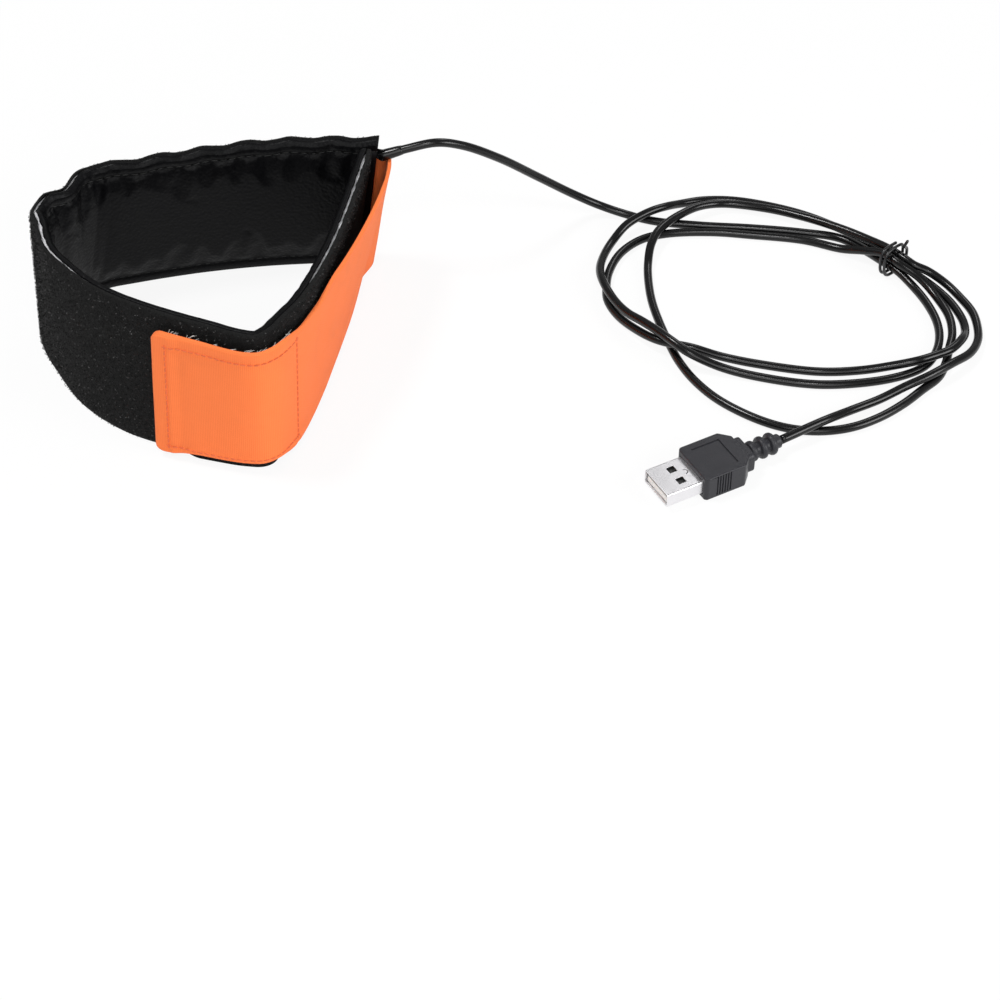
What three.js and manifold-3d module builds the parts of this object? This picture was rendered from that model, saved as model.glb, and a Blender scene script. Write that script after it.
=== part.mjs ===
// Telescope dew heater strip: a padded band with a heating wire, closed in a loop by a strap with a
// hook patch, and fed by a cable with a USB-A plug. Millimetres, +Z up. The loop stands on one long
// edge, and the origin is at the middle of the footprint of the strip and its strap.
import * as THREE from 'three';
import { mergeVertices } from 'three/addons/utils/BufferGeometryUtils.js';
import Module from 'manifold-3d';

const wasm = await Module();
wasm.setup();

// Strip: three layers, counted outwards from the inner face
const stripWidth = 47;
const liningThick = 0.7;
const foamThick = 1.8;
const coverThick = 0.9;
const layerGap = 0.3;
const foamFrom = liningThick + layerGap;
const coverFrom = foamFrom + foamThick + layerGap;
const stripThick = coverFrom + coverThick;
const rippleHeight = 0.35;
const ripplePitch = 13;
const rippleEnd = 112;
const rippleFade = 20;
const stationStep = 3;

// Outer face of the strip in plan, from the end that carries the strap to the tucked end, as
// top x, top y, bottom x, bottom y. The loop leans, and it buckles where it bends to the left.
const stripOutline = [
  [48.0, 45.9, 41.8, 48.2], [38.0, 46.0, 34.6, 48.6], [26.0, 45.9, 25.2, 48.1], [10.0, 44.0, 10.0, 46.7],
  [-8.5, 39.6, -8.5, 43.6], [-27.0, 34.3, -27.5, 38.8], [-35.2, 32.4, -37.0, 35.6],
  [-39.8, 27.6, -43.0, 30.8], [-42.8, 21.2, -47.2, 25.2], [-47.8, 17.0, -51.4, 19.4],
  [-50.4, 10.2, -53.0, 11.4], [-48.4, 3.8, -51.4, 3.6], [-44.6, -7.6, -45.6, -7.6],
  [-37.4, -17.0, -38.4, -19.2], [-30.2, -24.3, -30.7, -27.2], [-21.2, -30.6, -21.4, -33.8],
  [-8.5, -37.0, -8.5, -39.4], [4.5, -42.4, 4.5, -43.4], [12.8, -45.8, 12.6, -45.2],
  [18.2, -46.6, 17.6, -45.2], [22.2, -43.6, 21.2, -41.8], [26.0, -37.5, 24.8, -35.8],
  [30.4, -30.0, 28.2, -27.8], [34.4, -19.4, 30.8, -16.8], [38.8, -4.0, 33.6, -1.4],
  [43.0, 17.0, 37.0, 19.2], [46.6, 38.6, 39.6, 41.0],
];

// Heater: a wire laid in four runs inside the pocket of the foam, joined to two leads
const pocketMargin = 3;
const pocketDepth = 1.1;
const wireThick = 0.6;
const wireWide = 1.0;
const wireFrom = (liningThick + foamFrom + pocketDepth - wireThick) / 2;
const wireRuns = 4;
const wireEdge = 10;
const wireRunPitch = (stripWidth - 2 * wireEdge) / (wireRuns - 1);
const wireMargin = 16;
const sleeveLong = 8;
const sleeveWide = 2.2;
const sleeveAt = 28;
const leadStart = 0.4;
const leadFromTop = 5.2;
const leadHeight = stripWidth - leadFromTop;
const leadApart = 1.6;
const leadTurn = 10;
const leadTurnApart = 4;

// Strap: webbing sewn to the outer face, folded round the strip's end and stuck down in front
const strapThick = 1.1;
const strapWidth = 42;
const strapLow = 2;
const strapLowAtFold = 0.4;
const strapWidthAtFold = 40.2;
const strapTail = 14;
const strapReach = 121.5;
const strapLiftTop = 4.4;
const strapLiftLow = 0.6;
// Fold of the strap past the strip's end, at its lower and its upper edge
const foldOut = [1.6, 3.2];
const foldDrop = [4.6, 5.2];
const foldTurnOut = 0.8;
const foldTurnDrop = 0.3;
const hemFold = 9;
const hemThick = 0.8;
const hemStep = 0.6;
const clearance = 0.3;

// Hook patch between the strap and the cover
const patchThick = 1.3;
const patchWidth = 39;
const patchLong = 46;
const patchInset = 2;

// Cable, in the order it runs: out of the strip, three turns of a loose hank, and the plug
const cableThick = 2.6;
const cableSides = 8;
const cableSteps = 84;
const cableRoute = [
  [48.9, 42.9, 41.8], [56, 43.5, 43.8], [64.5, 44.8, 45], [72, 47.6, 42], [83, 53.6, 33], [95, 61, 20.5],
  [106, 66.6, 9.8], [114, 68.2, 4.4], [122, 67, 1.9], [131, 63.8, 1.5], [145, 61.6, 1.45], [161, 60.2, 1.45],
  [177, 58, 1.45], [188, 55.2, 1.5], [194.4, 49.3, 1.9], [199.4, 42, 3.1], [203.6, 37.2, 3.1],
  [208.2, 30.8, 1.7], [211.2, 23.5, 1.5], [213, 15.5, 1.45], [213, 8.5, 1.45], [211.2, 1.5, 1.45],
  [207.8, -4.2, 1.45], [203, -7.8, 1.45], [193, -11.4, 1.45], [176, -13.1, 1.45], [160, -10.2, 1.45],
  [147.5, -7, 2.8], [138, -4.4, 6.2], [133.6, -0.8, 7.3], [129.4, 4, 7.3], [125, 9.2, 6.7], [121, 14.6, 5.4],
  [117.4, 21.6, 4.5], [114.4, 29.8, 4.6], [113.6, 37.5, 3.3], [115, 46, 1.8], [118, 53.6, 1.6],
  [122.6, 59.4, 3.6], [129.4, 63.9, 4.9], [135, 67.4, 4.4], [140, 71.6, 2.3], [147, 74.4, 1.45],
  [156, 74.4, 1.45], [166, 72, 1.45], [178, 67, 1.45], [189, 59.6, 1.5], [196.4, 52.2, 2], [201.6, 44.1, 3.1],
  [205.8, 39.3, 3.1], [211, 35.6, 1.5], [215.4, 29.4, 1.45], [218.6, 23.4, 1.45], [220.8, 16, 1.45],
  [220.6, 9.4, 2.3], [218.4, 3.4, 4.3], [214.6, -1.4, 4.7], [210, -3.8, 4.6], [205, -6, 4.6],
  [197.5, -6.6, 3.1], [188, -7, 1.6], [176, -7.4, 1.45], [160, -4.4, 1.45], [148, -1.6, 2.2], [139.4, -0.2, 4.4],
  [133.6, 1.4, 4.6], [129.2, 3.6, 4.3], [124.4, 8.6, 3.2], [118.6, 17.6, 1.5], [115.6, 25, 1.45], [115.4, 31, 1.45],
  [116.4, 38.5, 1.45], [120.4, 48, 1.45], [127, 54.6, 1.45], [135, 57.4, 1.5], [149, 58, 1.6], [161, 56.8, 1.45],
  [177, 54.2, 1.45], [188, 49.4, 1.9], [194.4, 45.2, 4.5], [199.4, 42, 6.1], [203.6, 37.2, 6.1],
  [209.8, 32.6, 4], [214.4, 25.6, 2], [217, 17.6, 1.45], [216.9, 9.5, 1.45], [215.2, 3, 1.45], [213.4, -3.4, 1.45],
  [210.5, -9.8, 1.45], [205, -15.4, 1.45], [199, -21.4, 1.45], [191, -27.5, 1.45], [182.5, -31.6, 1.45],
  [173.5, -33, 1.45], [165, -31.8, 1.45], [156.6, -28, 1.45], [146.3, -20, 1.45], [139.8, -11.6, 1.45], [135.6, -3, 1.45],
  [133, 5.4, 1.45], [130.6, 15, 1.45], [128.8, 25, 1.45], [128.2, 35, 1.45], [128.4, 42, 1.8], [129.4, 48.6, 3.5],
  [131.6, 54.4, 4.3], [134.6, 58.8, 4.3], [139, 63.2, 4.3], [145.4, 68.2, 3.8], [153, 70.9, 2.8], [166, 68.6, 2.8],
  [177.4, 63.2, 3.6], [188.6, 55.8, 4.6], [195.8, 50, 5.2], [201.6, 44.1, 6.1], [205.8, 39.3, 6.1],
  [208.6, 36.9, 5.4], [212.6, 35.8, 4.1], [217.6, 31.8, 2.6], [221.4, 26.2, 1.7], [224.2, 19.6, 1.5],
  [224.8, 12.6, 1.5], [223.9, 6, 1.9],
  [220.6, -0.9, 3], [214.4, -7, 4.3], [207.2, -12.4, 4.3], [200.4, -15.8, 3.4], [192, -20.4, 2.2],
  [183.5, -25.4, 2.6], [175.6, -31.4, 4.3], [170, -34.9, 4.4], [165.6, -37.5, 4.2], [162.1, -39.5, 4],
];

// Twist tie: two turns of coated wire round the four strands, with a bent tail
const tieThick = 1.2;
const tieCentre = [202.6, 40.65, 4.85];
const tieYaw = -48.5;
const tieHalf = 4.15;
const tieCorner = 0.68;
const tieTurns = 2;
const tiePitch = 1.6;
const tieTail = 3.2;
const tieTension = 0.35;

// USB-A plug, lying flat. Its x axis runs from the mouth of the shell to the cable.
const plugAt = [126.2, -59.2, 4];
const plugYaw = 28.9;
const shellWide = 12;
const shellHigh = 4.5;
const shellWall = 0.35;
const shellLong = 18.6;
const shellShown = 11.4;
const windowSize = 2.4;
const windowApart = 4.9;
const windowFromMouth = 5.2;
const tongueThick = 1.9;
const tongueInset = 0.6;
const contacts = 4;
const contactFrom = 1.6;
const contactThick = 0.3;
const contactWide = 1;
const contactPitch = 2.3;
const contactLong = 7.4;
const bodyWide = 15.2;
const bodyHigh = 8;
const bodyLong = 16;
const bodyRound = 1.6;
const panelLong = 9;
const panelWide = 10.5;
const panelDeep = 0.3;
const reliefLong = 13.1;
const reliefThick = 6.6;
const reliefNeck = 4.2;
const reliefStep = 0.5;
const reliefRibs = 3;
const ribsFrom = 0.28;
const ribRise = 0.2;
const ribFlat = 0.68;
const ribFall = 0.85;
const cavitySpare = 3;
const shellRound = 0.6;
const reliefBore = 2.8;
const coreThick = 0.9;

// Brings the middle of the strip's and strap's footprint to the origin
const centring = [0.77, -0.26, 0];

const part = new THREE.Group();
part.position.set(...centring);

// Materials of the sub-parts
const finish = (color, roughness, metalness = 0) => new THREE.MeshStandardMaterial({ color, roughness, metalness });
const leather = finish(0x1b1b1d, 0.45);
const foam = finish(0xd8d6d0, 0.9);
const pile = finish(0x151515, 0.95);
const webbing = finish(0xff8249, 0.8);
const hooks = finish(0xe4e2dc, 0.75);
const cablePvc = finish(0x121212, 0.3);
const plugPvc = finish(0x3c3c40, 0.55);
const steel = finish(0xd2d2cd, 0.3, 0.9);
const whitePlastic = finish(0xe9e8e2, 0.5);
const gilt = finish(0xc9a24a, 0.3, 0.9);
const heaterWire = finish(0x8a3b2c, 0.6);
const redCore = finish(0xb3261e, 0.5);
const blackCore = finish(0x1a1a1a, 0.5);

function add(name, geometry, material, parent = part) {
  const mesh = new THREE.Mesh(geometry, material);
  mesh.name = name;
  parent.add(mesh);
  return mesh;
}

// Closes a row of rings into one solid. Each ring has the points of one outline, which turns
// counterclockwise when it is seen against the direction of the row. Each face is split from its
// lower point in one ring to its higher one in the next, so that neighbouring layers stay parallel.
function loft(rings, outline) {
  const sides = outline.length;
  const faces = [];
  for (let i = 0; i + 1 < rings.length; i++) {
    for (let j = 0; j < sides; j++) {
      const a = i * sides + j;
      const b = i * sides + (j + 1) % sides;
      const rises = outline[(j + 1) % sides].x >= outline[j].x;
      if (rises) {
        faces.push(a, b, b + sides, a, b + sides, a + sides);
      } else {
        faces.push(a, b, a + sides, b, b + sides, a + sides);
      }
    }
  }
  const last = (rings.length - 1) * sides;
  for (const [a, b, c] of THREE.ShapeUtils.triangulateShape(outline, [])) {
    faces.push(c, b, a, last + a, last + b, last + c);
  }
  const geometry = new THREE.BufferGeometry().setFromPoints(rings.flat());
  geometry.setIndex(faces);
  geometry.computeVertexNormals();
  return geometry;
}

// A wall between two edges in space. It places a point by its way along the wall, its distance
// outwards from the wall's reference face, and its share of the height.
class Wall {
  constructor(low, high) {
    this.low = new THREE.CatmullRomCurve3(low, false, 'centripetal');
    this.high = new THREE.CatmullRomCurve3(high, false, 'centripetal');
    this.low.arcLengthDivisions = 800;
    this.high.arcLengthDivisions = 800;
    this.length = (this.low.getLength() + this.high.getLength()) / 2;
  }

  at(along, out, share) {
    const w = THREE.MathUtils.clamp(along / this.length, 0, 1);
    const point = this.low.getPointAt(w).lerp(this.high.getPointAt(w), share);
    const way = this.low.getTangentAt(w).add(this.high.getTangentAt(w)).setZ(0).normalize();
    point.x += way.y * out;
    point.y -= way.x * out;
    return point;
  }
}

function stations(from, to) {
  const steps = Math.max(1, Math.round((to - from) / stationStep));
  return Array.from({ length: steps + 1 }, (_, i) => from + (to - from) * i / steps);
}

const highEdge = stripOutline.map(([x, y]) => new THREE.Vector3(x, y, stripWidth));
const lowEdge = stripOutline.map(([, , x, y]) => new THREE.Vector3(x, y, 0));
const strip = new Wall(lowEdge, highEdge);
const fade = (along) => 1 - THREE.MathUtils.smoothstep(along, rippleEnd, rippleEnd + rippleFade);
const ripple = (along) => fade(along) * rippleHeight * Math.cos(2 * Math.PI * along / ripplePitch);

// A point of the strip: out is counted from its inner face, and height from its lower edge. The
// upper edge is scalloped.
function onStrip(along, out, height) {
  const point = strip.at(along, out - stripThick, height / stripWidth);
  point.z += ripple(along) * Math.max(0, height / stripWidth);
  return point;
}

// A layer of the strip, cut flat as an outline of height and distance outwards, then bent
function layer(outline) {
  const corners = outline.map(([height, out]) => new THREE.Vector2(height, out));
  const rings = stations(0, strip.length).map((s) => outline.map(([height, out]) => onStrip(s, out, height)));
  return loft(rings, corners);
}

// A flat wire laid along points of way and height, with square corners
function laidWire(points, wide, thick) {
  const rings = points.map(([s, h], i) => {
    const [s0, h0] = points[Math.max(0, i - 1)];
    const [s1, h1] = points[Math.min(points.length - 1, i + 1)];
    const before = new THREE.Vector2(s - s0, h - h0).normalize();
    const after = new THREE.Vector2(s1 - s, h1 - h).normalize();
    const side = before.add(after).normalize();
    const turn = i === 0 || i === points.length - 1 ? 1 : Math.abs(side.dot(after));
    const ds = -side.y * wide / 2 / turn;
    const dh = side.x * wide / 2 / turn;
    return [
      onStrip(s - ds, wireFrom, h - dh), onStrip(s + ds, wireFrom, h + dh),
      onStrip(s + ds, wireFrom + thick, h + dh), onStrip(s - ds, wireFrom + thick, h - dh),
    ];
  });
  const corners = [[0, 0], [wide, 0], [wide, thick], [0, thick]].map(([x, y]) => new THREE.Vector2(x, y));
  return loft(rings, corners);
}

function addStrip() {
  const top = stripWidth;
  add('lining', layer([[0, 0], [top, 0], [top, liningThick], [0, liningThick]]), leather);
  const low = pocketMargin;
  const high = stripWidth - pocketMargin;
  const foamTo = foamFrom + foamThick;
  const floor = foamFrom + pocketDepth;
  const padOutline = [
    [0, foamFrom], [low, foamFrom], [low, floor], [high, floor], [high, foamFrom], [top, foamFrom],
    [top, foamTo], [0, foamTo],
  ];
  add('foam_pad', layer(padOutline), foam);
  add('loop_cover', layer([[0, coverFrom], [top, coverFrom], [top, stripThick], [0, stripThick]]), pile);
}

function addHeater() {
  const runHeight = (run) => wireEdge + run * wireRunPitch;
  const startAt = sleeveAt + sleeveLong + clearance;
  const farAt = strip.length - wireMargin;
  const innerAt = startAt + wireMargin;
  const path = [];
  for (let run = 0; run < wireRuns; run++) {
    const outward = run % 2 === 0;
    const nearAt = run === 0 || run === wireRuns - 1 ? startAt : innerAt;
    const way = stations(nearAt, farAt);
    path.push(...(outward ? way : way.reverse()).map((s) => [s, runHeight(run)]));
  }
  add('heater_wire', laidWire(path, wireWide, wireThick), heaterWire);
  const ends = [['a', 0, 'lead_red', redCore], ['b', wireRuns - 1, 'lead_black', blackCore]];
  for (const [letter, run, lead, material] of ends) {
    const sleeve = stations(sleeveAt, sleeveAt + sleeveLong).map((s) => [s, runHeight(run)]);
    add(`joint_sleeve_${letter}`, laidWire(sleeve, sleeveWide, wireThick), blackCore);
    const upper = run > 0;
    const enterAt = leadHeight + (upper ? 1 : -1) * leadApart / 2;
    const turnAt = leadTurn + (upper ? leadTurnApart : 0);
    const way = [[leadStart, enterAt], [turnAt / 2, enterAt], [turnAt, enterAt]];
    const onward = stations(turnAt + stationStep, sleeveAt - clearance).map((s) => [s, runHeight(run)]);
    const down = [[turnAt, runHeight(run)], ...onward];
    add(lead, laidWire([...way, ...down], coreThick, wireThick), material);
  }
}

// The strap is a wall of its own. It follows the strip from the hem to the tucked end, leaves it
// there, folds round the other end and comes to lie on the outer face behind.
function strapWall() {
  const low = [];
  const high = [];
  const hemAt = strip.length - strapReach;
  const leaveAt = hemAt + patchLong;
  const onPatch = patchThick + 2 * clearance;
  for (const s of stations(hemAt, strip.length - stationStep)) {
    const rest = THREE.MathUtils.smoothstep(s, leaveAt - 2 * stationStep, leaveAt + 2 * stationStep);
    const leave = THREE.MathUtils.smoothstep(s, leaveAt, strip.length);
    const lift = THREE.MathUtils.lerp(onPatch, 2 * clearance, rest);
    const drop = THREE.MathUtils.lerp(strapLow, strapLowAtFold, leave);
    const width = THREE.MathUtils.lerp(strapWidth, strapWidthAtFold, leave);
    low.push(onStrip(s, stripThick + lift + leave * strapLiftLow, drop).setZ(drop));
    high.push(onStrip(s, stripThick + lift + leave * strapLiftTop, drop + width).setZ(drop + width));
  }
  for (const [side, list] of [low, high].entries()) {
    const height = strapLowAtFold + side * strapWidthAtFold;
    const out = foldOut[side];
    const drop = foldDrop[side];
    const end = onStrip(0, stripThick + clearance, height);
    const tail = onStrip(strapTail / 2, stripThick + clearance, height);
    const tailEnd = onStrip(strapTail, stripThick + clearance, height);
    list.push(new THREE.Vector3(end.x + out, end.y - drop, height));
    list.push(new THREE.Vector3(end.x + out * foldTurnOut, end.y - drop * foldTurnDrop, height));
    list.push(end.setZ(height), tail.setZ(height), tailEnd.setZ(height));
  }
  return new Wall(low, high);
}

const strapPath = strapWall();

// A band on the strap's way, with a thickness for each place, and cut back by trim at both edges
function strapBand(places, inner, thickAt, trim) {
  const share = trim / strapWidth;
  const low = share;
  const high = 1 - share;
  const outline = (thick) => [[low, inner], [high, inner], [high, inner + thick], [low, inner + thick]];
  const rings = places.map((s) => outline(thickAt(s)).map(([height, out]) => strapPath.at(s, out, height)));
  const corners = outline(thickAt(places[0])).map(([height, out]) => new THREE.Vector2(height * strapWidth, out));
  return loft(rings, corners);
}

function addStrap() {
  const places = [...stations(0, hemFold), ...stations(hemFold + hemStep, strapPath.length)];
  const webThick = (s) => strapThick + (s <= hemFold ? hemThick : 0);
  add('strap', strapBand(places, 0, webThick, 0), webbing);
  const patchPlaces = stations(patchInset, patchLong - patchInset);
  const trim = (strapWidth - patchWidth) / 2;
  add('hook_patch', strapBand(patchPlaces, -clearance - patchThick, () => patchThick, trim), hooks);
}

// Solids that are joined or cut go through the library and come back as a mesh
function solidOf(geometry) {
  const plain = geometry.clone();
  plain.deleteAttribute('normal');
  plain.deleteAttribute('uv');
  const merged = mergeVertices(plain, 1e-5);
  const triVerts = new Uint32Array(merged.index.array);
  const vertProperties = new Float32Array(merged.attributes.position.array);
  return new wasm.Manifold(new wasm.Mesh({ numProp: 3, vertProperties, triVerts }));
}

function meshOf(solid) {
  const mesh = solid.getMesh();
  const geometry = new THREE.BufferGeometry();
  geometry.setAttribute('position', new THREE.BufferAttribute(new Float32Array(mesh.vertProperties), 3));
  geometry.setIndex(new THREE.BufferAttribute(new Uint32Array(mesh.triVerts), 1));
  geometry.computeVertexNormals();
  return geometry;
}

const joined = (first, ...rest) => meshOf(rest.reduce((solid, next) => solid.add(solidOf(next)), solidOf(first)));
const cut = (first, ...rest) => meshOf(rest.reduce((solid, next) => solid.subtract(solidOf(next)), solidOf(first)));

// A section with that many corners, for what is drawn along a curve
function roundSection(thick, sides) {
  const points = Array.from({ length: sides }, (_, i) => {
    const angle = 2 * Math.PI * i / sides;
    return new THREE.Vector2(Math.cos(angle) * thick / 2, Math.sin(angle) * thick / 2);
  });
  return new THREE.Shape(points);
}

function addCable() {
  const route = new THREE.CatmullRomCurve3(cableRoute.map((p) => new THREE.Vector3(...p)), false, 'centripetal');
  route.arcLengthDivisions = 2000;
  const options = { steps: cableSteps, extrudePath: route };
  add('power_cable', new THREE.ExtrudeGeometry(roundSection(cableThick, cableSides), options), cablePvc);
}

function addTie() {
  const points = [];
  const c = tieCorner;
  const sides = [[c, 1], [-c, 1], [-1, c], [-1, -c], [-c, -1], [c, -1], [1, -c], [1, c]];
  const total = sides.length * tieTurns;
  for (let i = 0; i <= total; i++) {
    const [across, up] = sides[i % sides.length];
    const along = tiePitch * (i / sides.length - tieTurns / 2);
    points.push(new THREE.Vector3(along, across * tieHalf, up * tieHalf));
  }
  const end = points[points.length - 1];
  points.push(new THREE.Vector3(end.x + tieThick / 2, end.y - tieThick, end.z + tieThick));
  points.push(new THREE.Vector3(end.x + tieThick, end.y, end.z + tieTail));
  const curve = new THREE.CatmullRomCurve3(points, false, 'catmullrom', tieTension);
  const options = { steps: 3 * total, extrudePath: curve };
  const tie = add('cable_tie', new THREE.ExtrudeGeometry(roundSection(tieThick, 6), options), blackCore);
  tie.position.set(...tieCentre);
  tie.rotation.z = THREE.MathUtils.degToRad(tieYaw);
}

// A box between two corners, as an extruded rectangle with optional round edges along x
function bar(from, to, wide, high, round = 0, centreHigh = 0) {
  const shape = new THREE.Shape();
  const y = wide / 2;
  const z = high / 2;
  if (round > 0) {
    shape.moveTo(-y + round, -z);
    shape.lineTo(y - round, -z).absarc(y - round, -z + round, round, -Math.PI / 2, 0);
    shape.lineTo(y, z - round).absarc(y - round, z - round, round, 0, Math.PI / 2);
    shape.lineTo(-y + round, z).absarc(-y + round, z - round, round, Math.PI / 2, Math.PI);
    shape.lineTo(-y, -z + round).absarc(-y + round, -z + round, round, Math.PI, 1.5 * Math.PI);
  } else {
    shape.moveTo(-y, -z).lineTo(y, -z).lineTo(y, z).lineTo(-y, z).lineTo(-y, -z);
  }
  const geometry = new THREE.ExtrudeGeometry(shape, { depth: to - from, bevelEnabled: false, curveSegments: 5 });
  geometry.rotateX(Math.PI / 2);
  geometry.rotateZ(Math.PI / 2);
  geometry.translate(from, 0, centreHigh);
  return geometry;
}

function rod(from, to, thick, y = 0, z = 0, sides = 12) {
  const geometry = new THREE.CylinderGeometry(thick / 2, thick / 2, to - from, sides);
  geometry.rotateZ(Math.PI / 2);
  geometry.translate((from + to) / 2, y, z);
  return geometry;
}

function addPlug() {
  const plug = new THREE.Group();
  plug.position.set(...plugAt);
  plug.rotation.z = THREE.MathUtils.degToRad(plugYaw);
  part.add(plug);

  const bodyTo = shellShown + bodyLong;
  const plugTo = bodyTo + reliefLong;
  const cavityTo = shellLong + cavitySpare;
  const ribsAt = bodyTo + reliefLong * ribsFrom;
  const ribPitch = (plugTo - ribsAt) / reliefRibs;
  const foot = reliefThick / 2 + reliefStep;
  const neck = reliefNeck / 2;
  const profile = [[0, bodyTo - bodyRound], [foot, bodyTo - bodyRound], [foot, bodyTo], [neck, ribsAt]];
  for (let rib = 0; rib < reliefRibs; rib++) {
    const at = ribsAt + rib * ribPitch;
    profile.push([reliefThick / 2, at + ribPitch * ribRise], [reliefThick / 2, at + ribPitch * ribFlat]);
    profile.push([neck, at + ribPitch * ribFall]);
  }
  profile.push([neck, plugTo], [0, plugTo]);
  const relief = new THREE.LatheGeometry(profile.map(([radius, x]) => new THREE.Vector2(radius, x)), 16);
  relief.rotateZ(-Math.PI / 2);
  const body = bar(shellShown, bodyTo, bodyWide, bodyHigh, bodyRound);
  const cavity = bar(shellShown - 1, cavityTo, shellWide + 2 * clearance, shellHigh + 2 * clearance);
  const bore = rod(cavityTo - 1, plugTo + 1, reliefBore);
  const panelFrom = shellShown + (bodyLong - panelLong) / 2;
  const panel = bar(panelFrom, panelFrom + panelLong, panelWide, 2 * panelDeep, 0, bodyHigh / 2);
  add('plug_overmold', cut(joined(body, relief), cavity, bore, panel), plugPvc, plug);

  const sheetIn = bar(-1, shellLong + 1, shellWide - 2 * shellWall, shellHigh - 2 * shellWall);
  const windows = [-1, 1].map((side) => {
    const hole = bar(windowFromMouth, windowFromMouth + windowSize, windowSize, shellHigh + 2);
    return hole.translate(0, side * windowApart / 2, 0);
  });
  add('plug_shell', cut(bar(0, shellLong, shellWide, shellHigh, shellRound), sheetIn, ...windows), steel, plug);

  const tongueWide = shellWide - 2 * shellWall - 2 * clearance;
  const tongueLow = -shellHigh / 2 + shellWall + clearance;
  const tongue = bar(tongueInset, shellLong, tongueWide, tongueThick, 0, tongueLow + tongueThick / 2);
  add('plug_tongue', tongue, whitePlastic, plug);

  const contactLow = tongueLow + tongueThick + clearance;
  for (let i = 0; i < contacts; i++) {
    const contact = bar(contactFrom, contactFrom + contactLong, contactWide, contactThick);
    contact.translate(0, (i - (contacts - 1) / 2) * contactPitch, contactLow + contactThick / 2);
    add(`plug_contact_${i + 1}`, contact, gilt, plug);
  }
  for (const [side, name, material] of [[-1, 'plug_lead_red', redCore], [1, 'plug_lead_black', blackCore]]) {
    const y = side * (coreThick + clearance) / 2;
    add(name, rod(shellLong + clearance, plugTo - clearance, coreThick, y, 0, 8), material, plug);
  }
}

addStrip();
addHeater();
addStrap();
addCable();
addTie();
addPlug();

export default part;
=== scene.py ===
import math
import bmesh
import bpy
import numpy as np
from mathutils import Matrix, Vector


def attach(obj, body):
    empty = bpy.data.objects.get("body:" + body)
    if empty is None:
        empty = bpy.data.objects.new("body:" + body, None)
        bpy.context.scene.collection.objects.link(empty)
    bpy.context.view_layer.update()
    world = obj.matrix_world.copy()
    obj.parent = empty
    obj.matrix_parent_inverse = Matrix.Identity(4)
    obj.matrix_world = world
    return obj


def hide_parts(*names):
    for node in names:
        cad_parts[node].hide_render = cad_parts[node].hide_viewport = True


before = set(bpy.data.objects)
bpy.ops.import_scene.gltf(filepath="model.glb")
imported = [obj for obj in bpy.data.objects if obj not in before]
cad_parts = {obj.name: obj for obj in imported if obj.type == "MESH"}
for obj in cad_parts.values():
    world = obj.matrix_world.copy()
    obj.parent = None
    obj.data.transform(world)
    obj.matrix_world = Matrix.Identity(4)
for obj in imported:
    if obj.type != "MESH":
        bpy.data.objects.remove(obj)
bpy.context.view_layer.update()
scene = bpy.context.scene
centring = np.array([0.77, -0.26, 0.0])  # mm, from the drawing's origin to the frame's


# ---- view and light

viewSettings = {
    "lens": 90.0,  # mm
    "place": (0.08407, -0.5562, 0.47931),
    "tilt": 46.0,  # degrees up from straight down
    "world": 0.22,
    "worldGloss": 0.12,  # added where the pieces mirror the studio
    "key": {"place": (-0.42, 0.05, 1.15), "size": 0.22, "power": 7.0},
    "front": {"place": (0.1, -1.25, 0.75), "size": 0.9, "power": 6.6},
    "spark": {"place": (0.12, -0.6, 0.95), "size": 0.16, "power": 2.0},
    "side": {"place": (1.0, -0.45, 0.5), "size": 0.5, "power": 6.0},
    "rim": {"place": (0.45, 0.85, 0.8), "size": 0.3, "power": 1.2},
    "floor": 0.93,
    "floorGlow": 0.9,  # share of the floor that the lamps don't shade
    "aim": (0.08, 0.0, 0.0),  # where the lamps point
}


def addCamera():
    data = bpy.data.cameras.new("camera")
    data.lens = viewSettings["lens"]
    data.sensor_width = 36.0
    data.clip_start = 0.01
    data.clip_end = 50.0
    camera = bpy.data.objects.new("camera", data)
    camera.location = viewSettings["place"]
    camera.rotation_euler = (math.radians(viewSettings["tilt"]), 0.0, 0.0)
    scene.collection.objects.link(camera)
    scene.camera = camera


addCamera()
scene.view_settings.view_transform = "Standard"


# ---- shader and geometry maths

class Link:
    # a socket whose value can be used in sums
    def __init__(self, nodes, socket):
        self.nodes, self.socket = nodes, socket

    def out(self, name):
        return Link(self.nodes, self.socket.node.outputs[name])

    def maths(self, operation, *others):
        values = dict(enumerate((self, *others)))
        return self.nodes.node("ShaderNodeMath", {"operation": operation}, values)

    def __add__(self, other):
        return self.maths("ADD", other)

    def __sub__(self, other):
        return self.maths("SUBTRACT", other)

    def __rsub__(self, other):
        return self.nodes.node("ShaderNodeMath", {"operation": "SUBTRACT"}, {0: other, 1: self})

    def __mul__(self, other):
        return self.maths("MULTIPLY", other)

    __radd__ = __add__
    __rmul__ = __mul__

    def between(self, low, high, to=(0.0, 1.0)):
        values = {0: self, 1: low, 2: high, 3: to[0], 4: to[1]}
        return self.nodes.node("ShaderNodeMapRange", {"interpolation_type": "SMOOTHSTEP"}, values)


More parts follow.
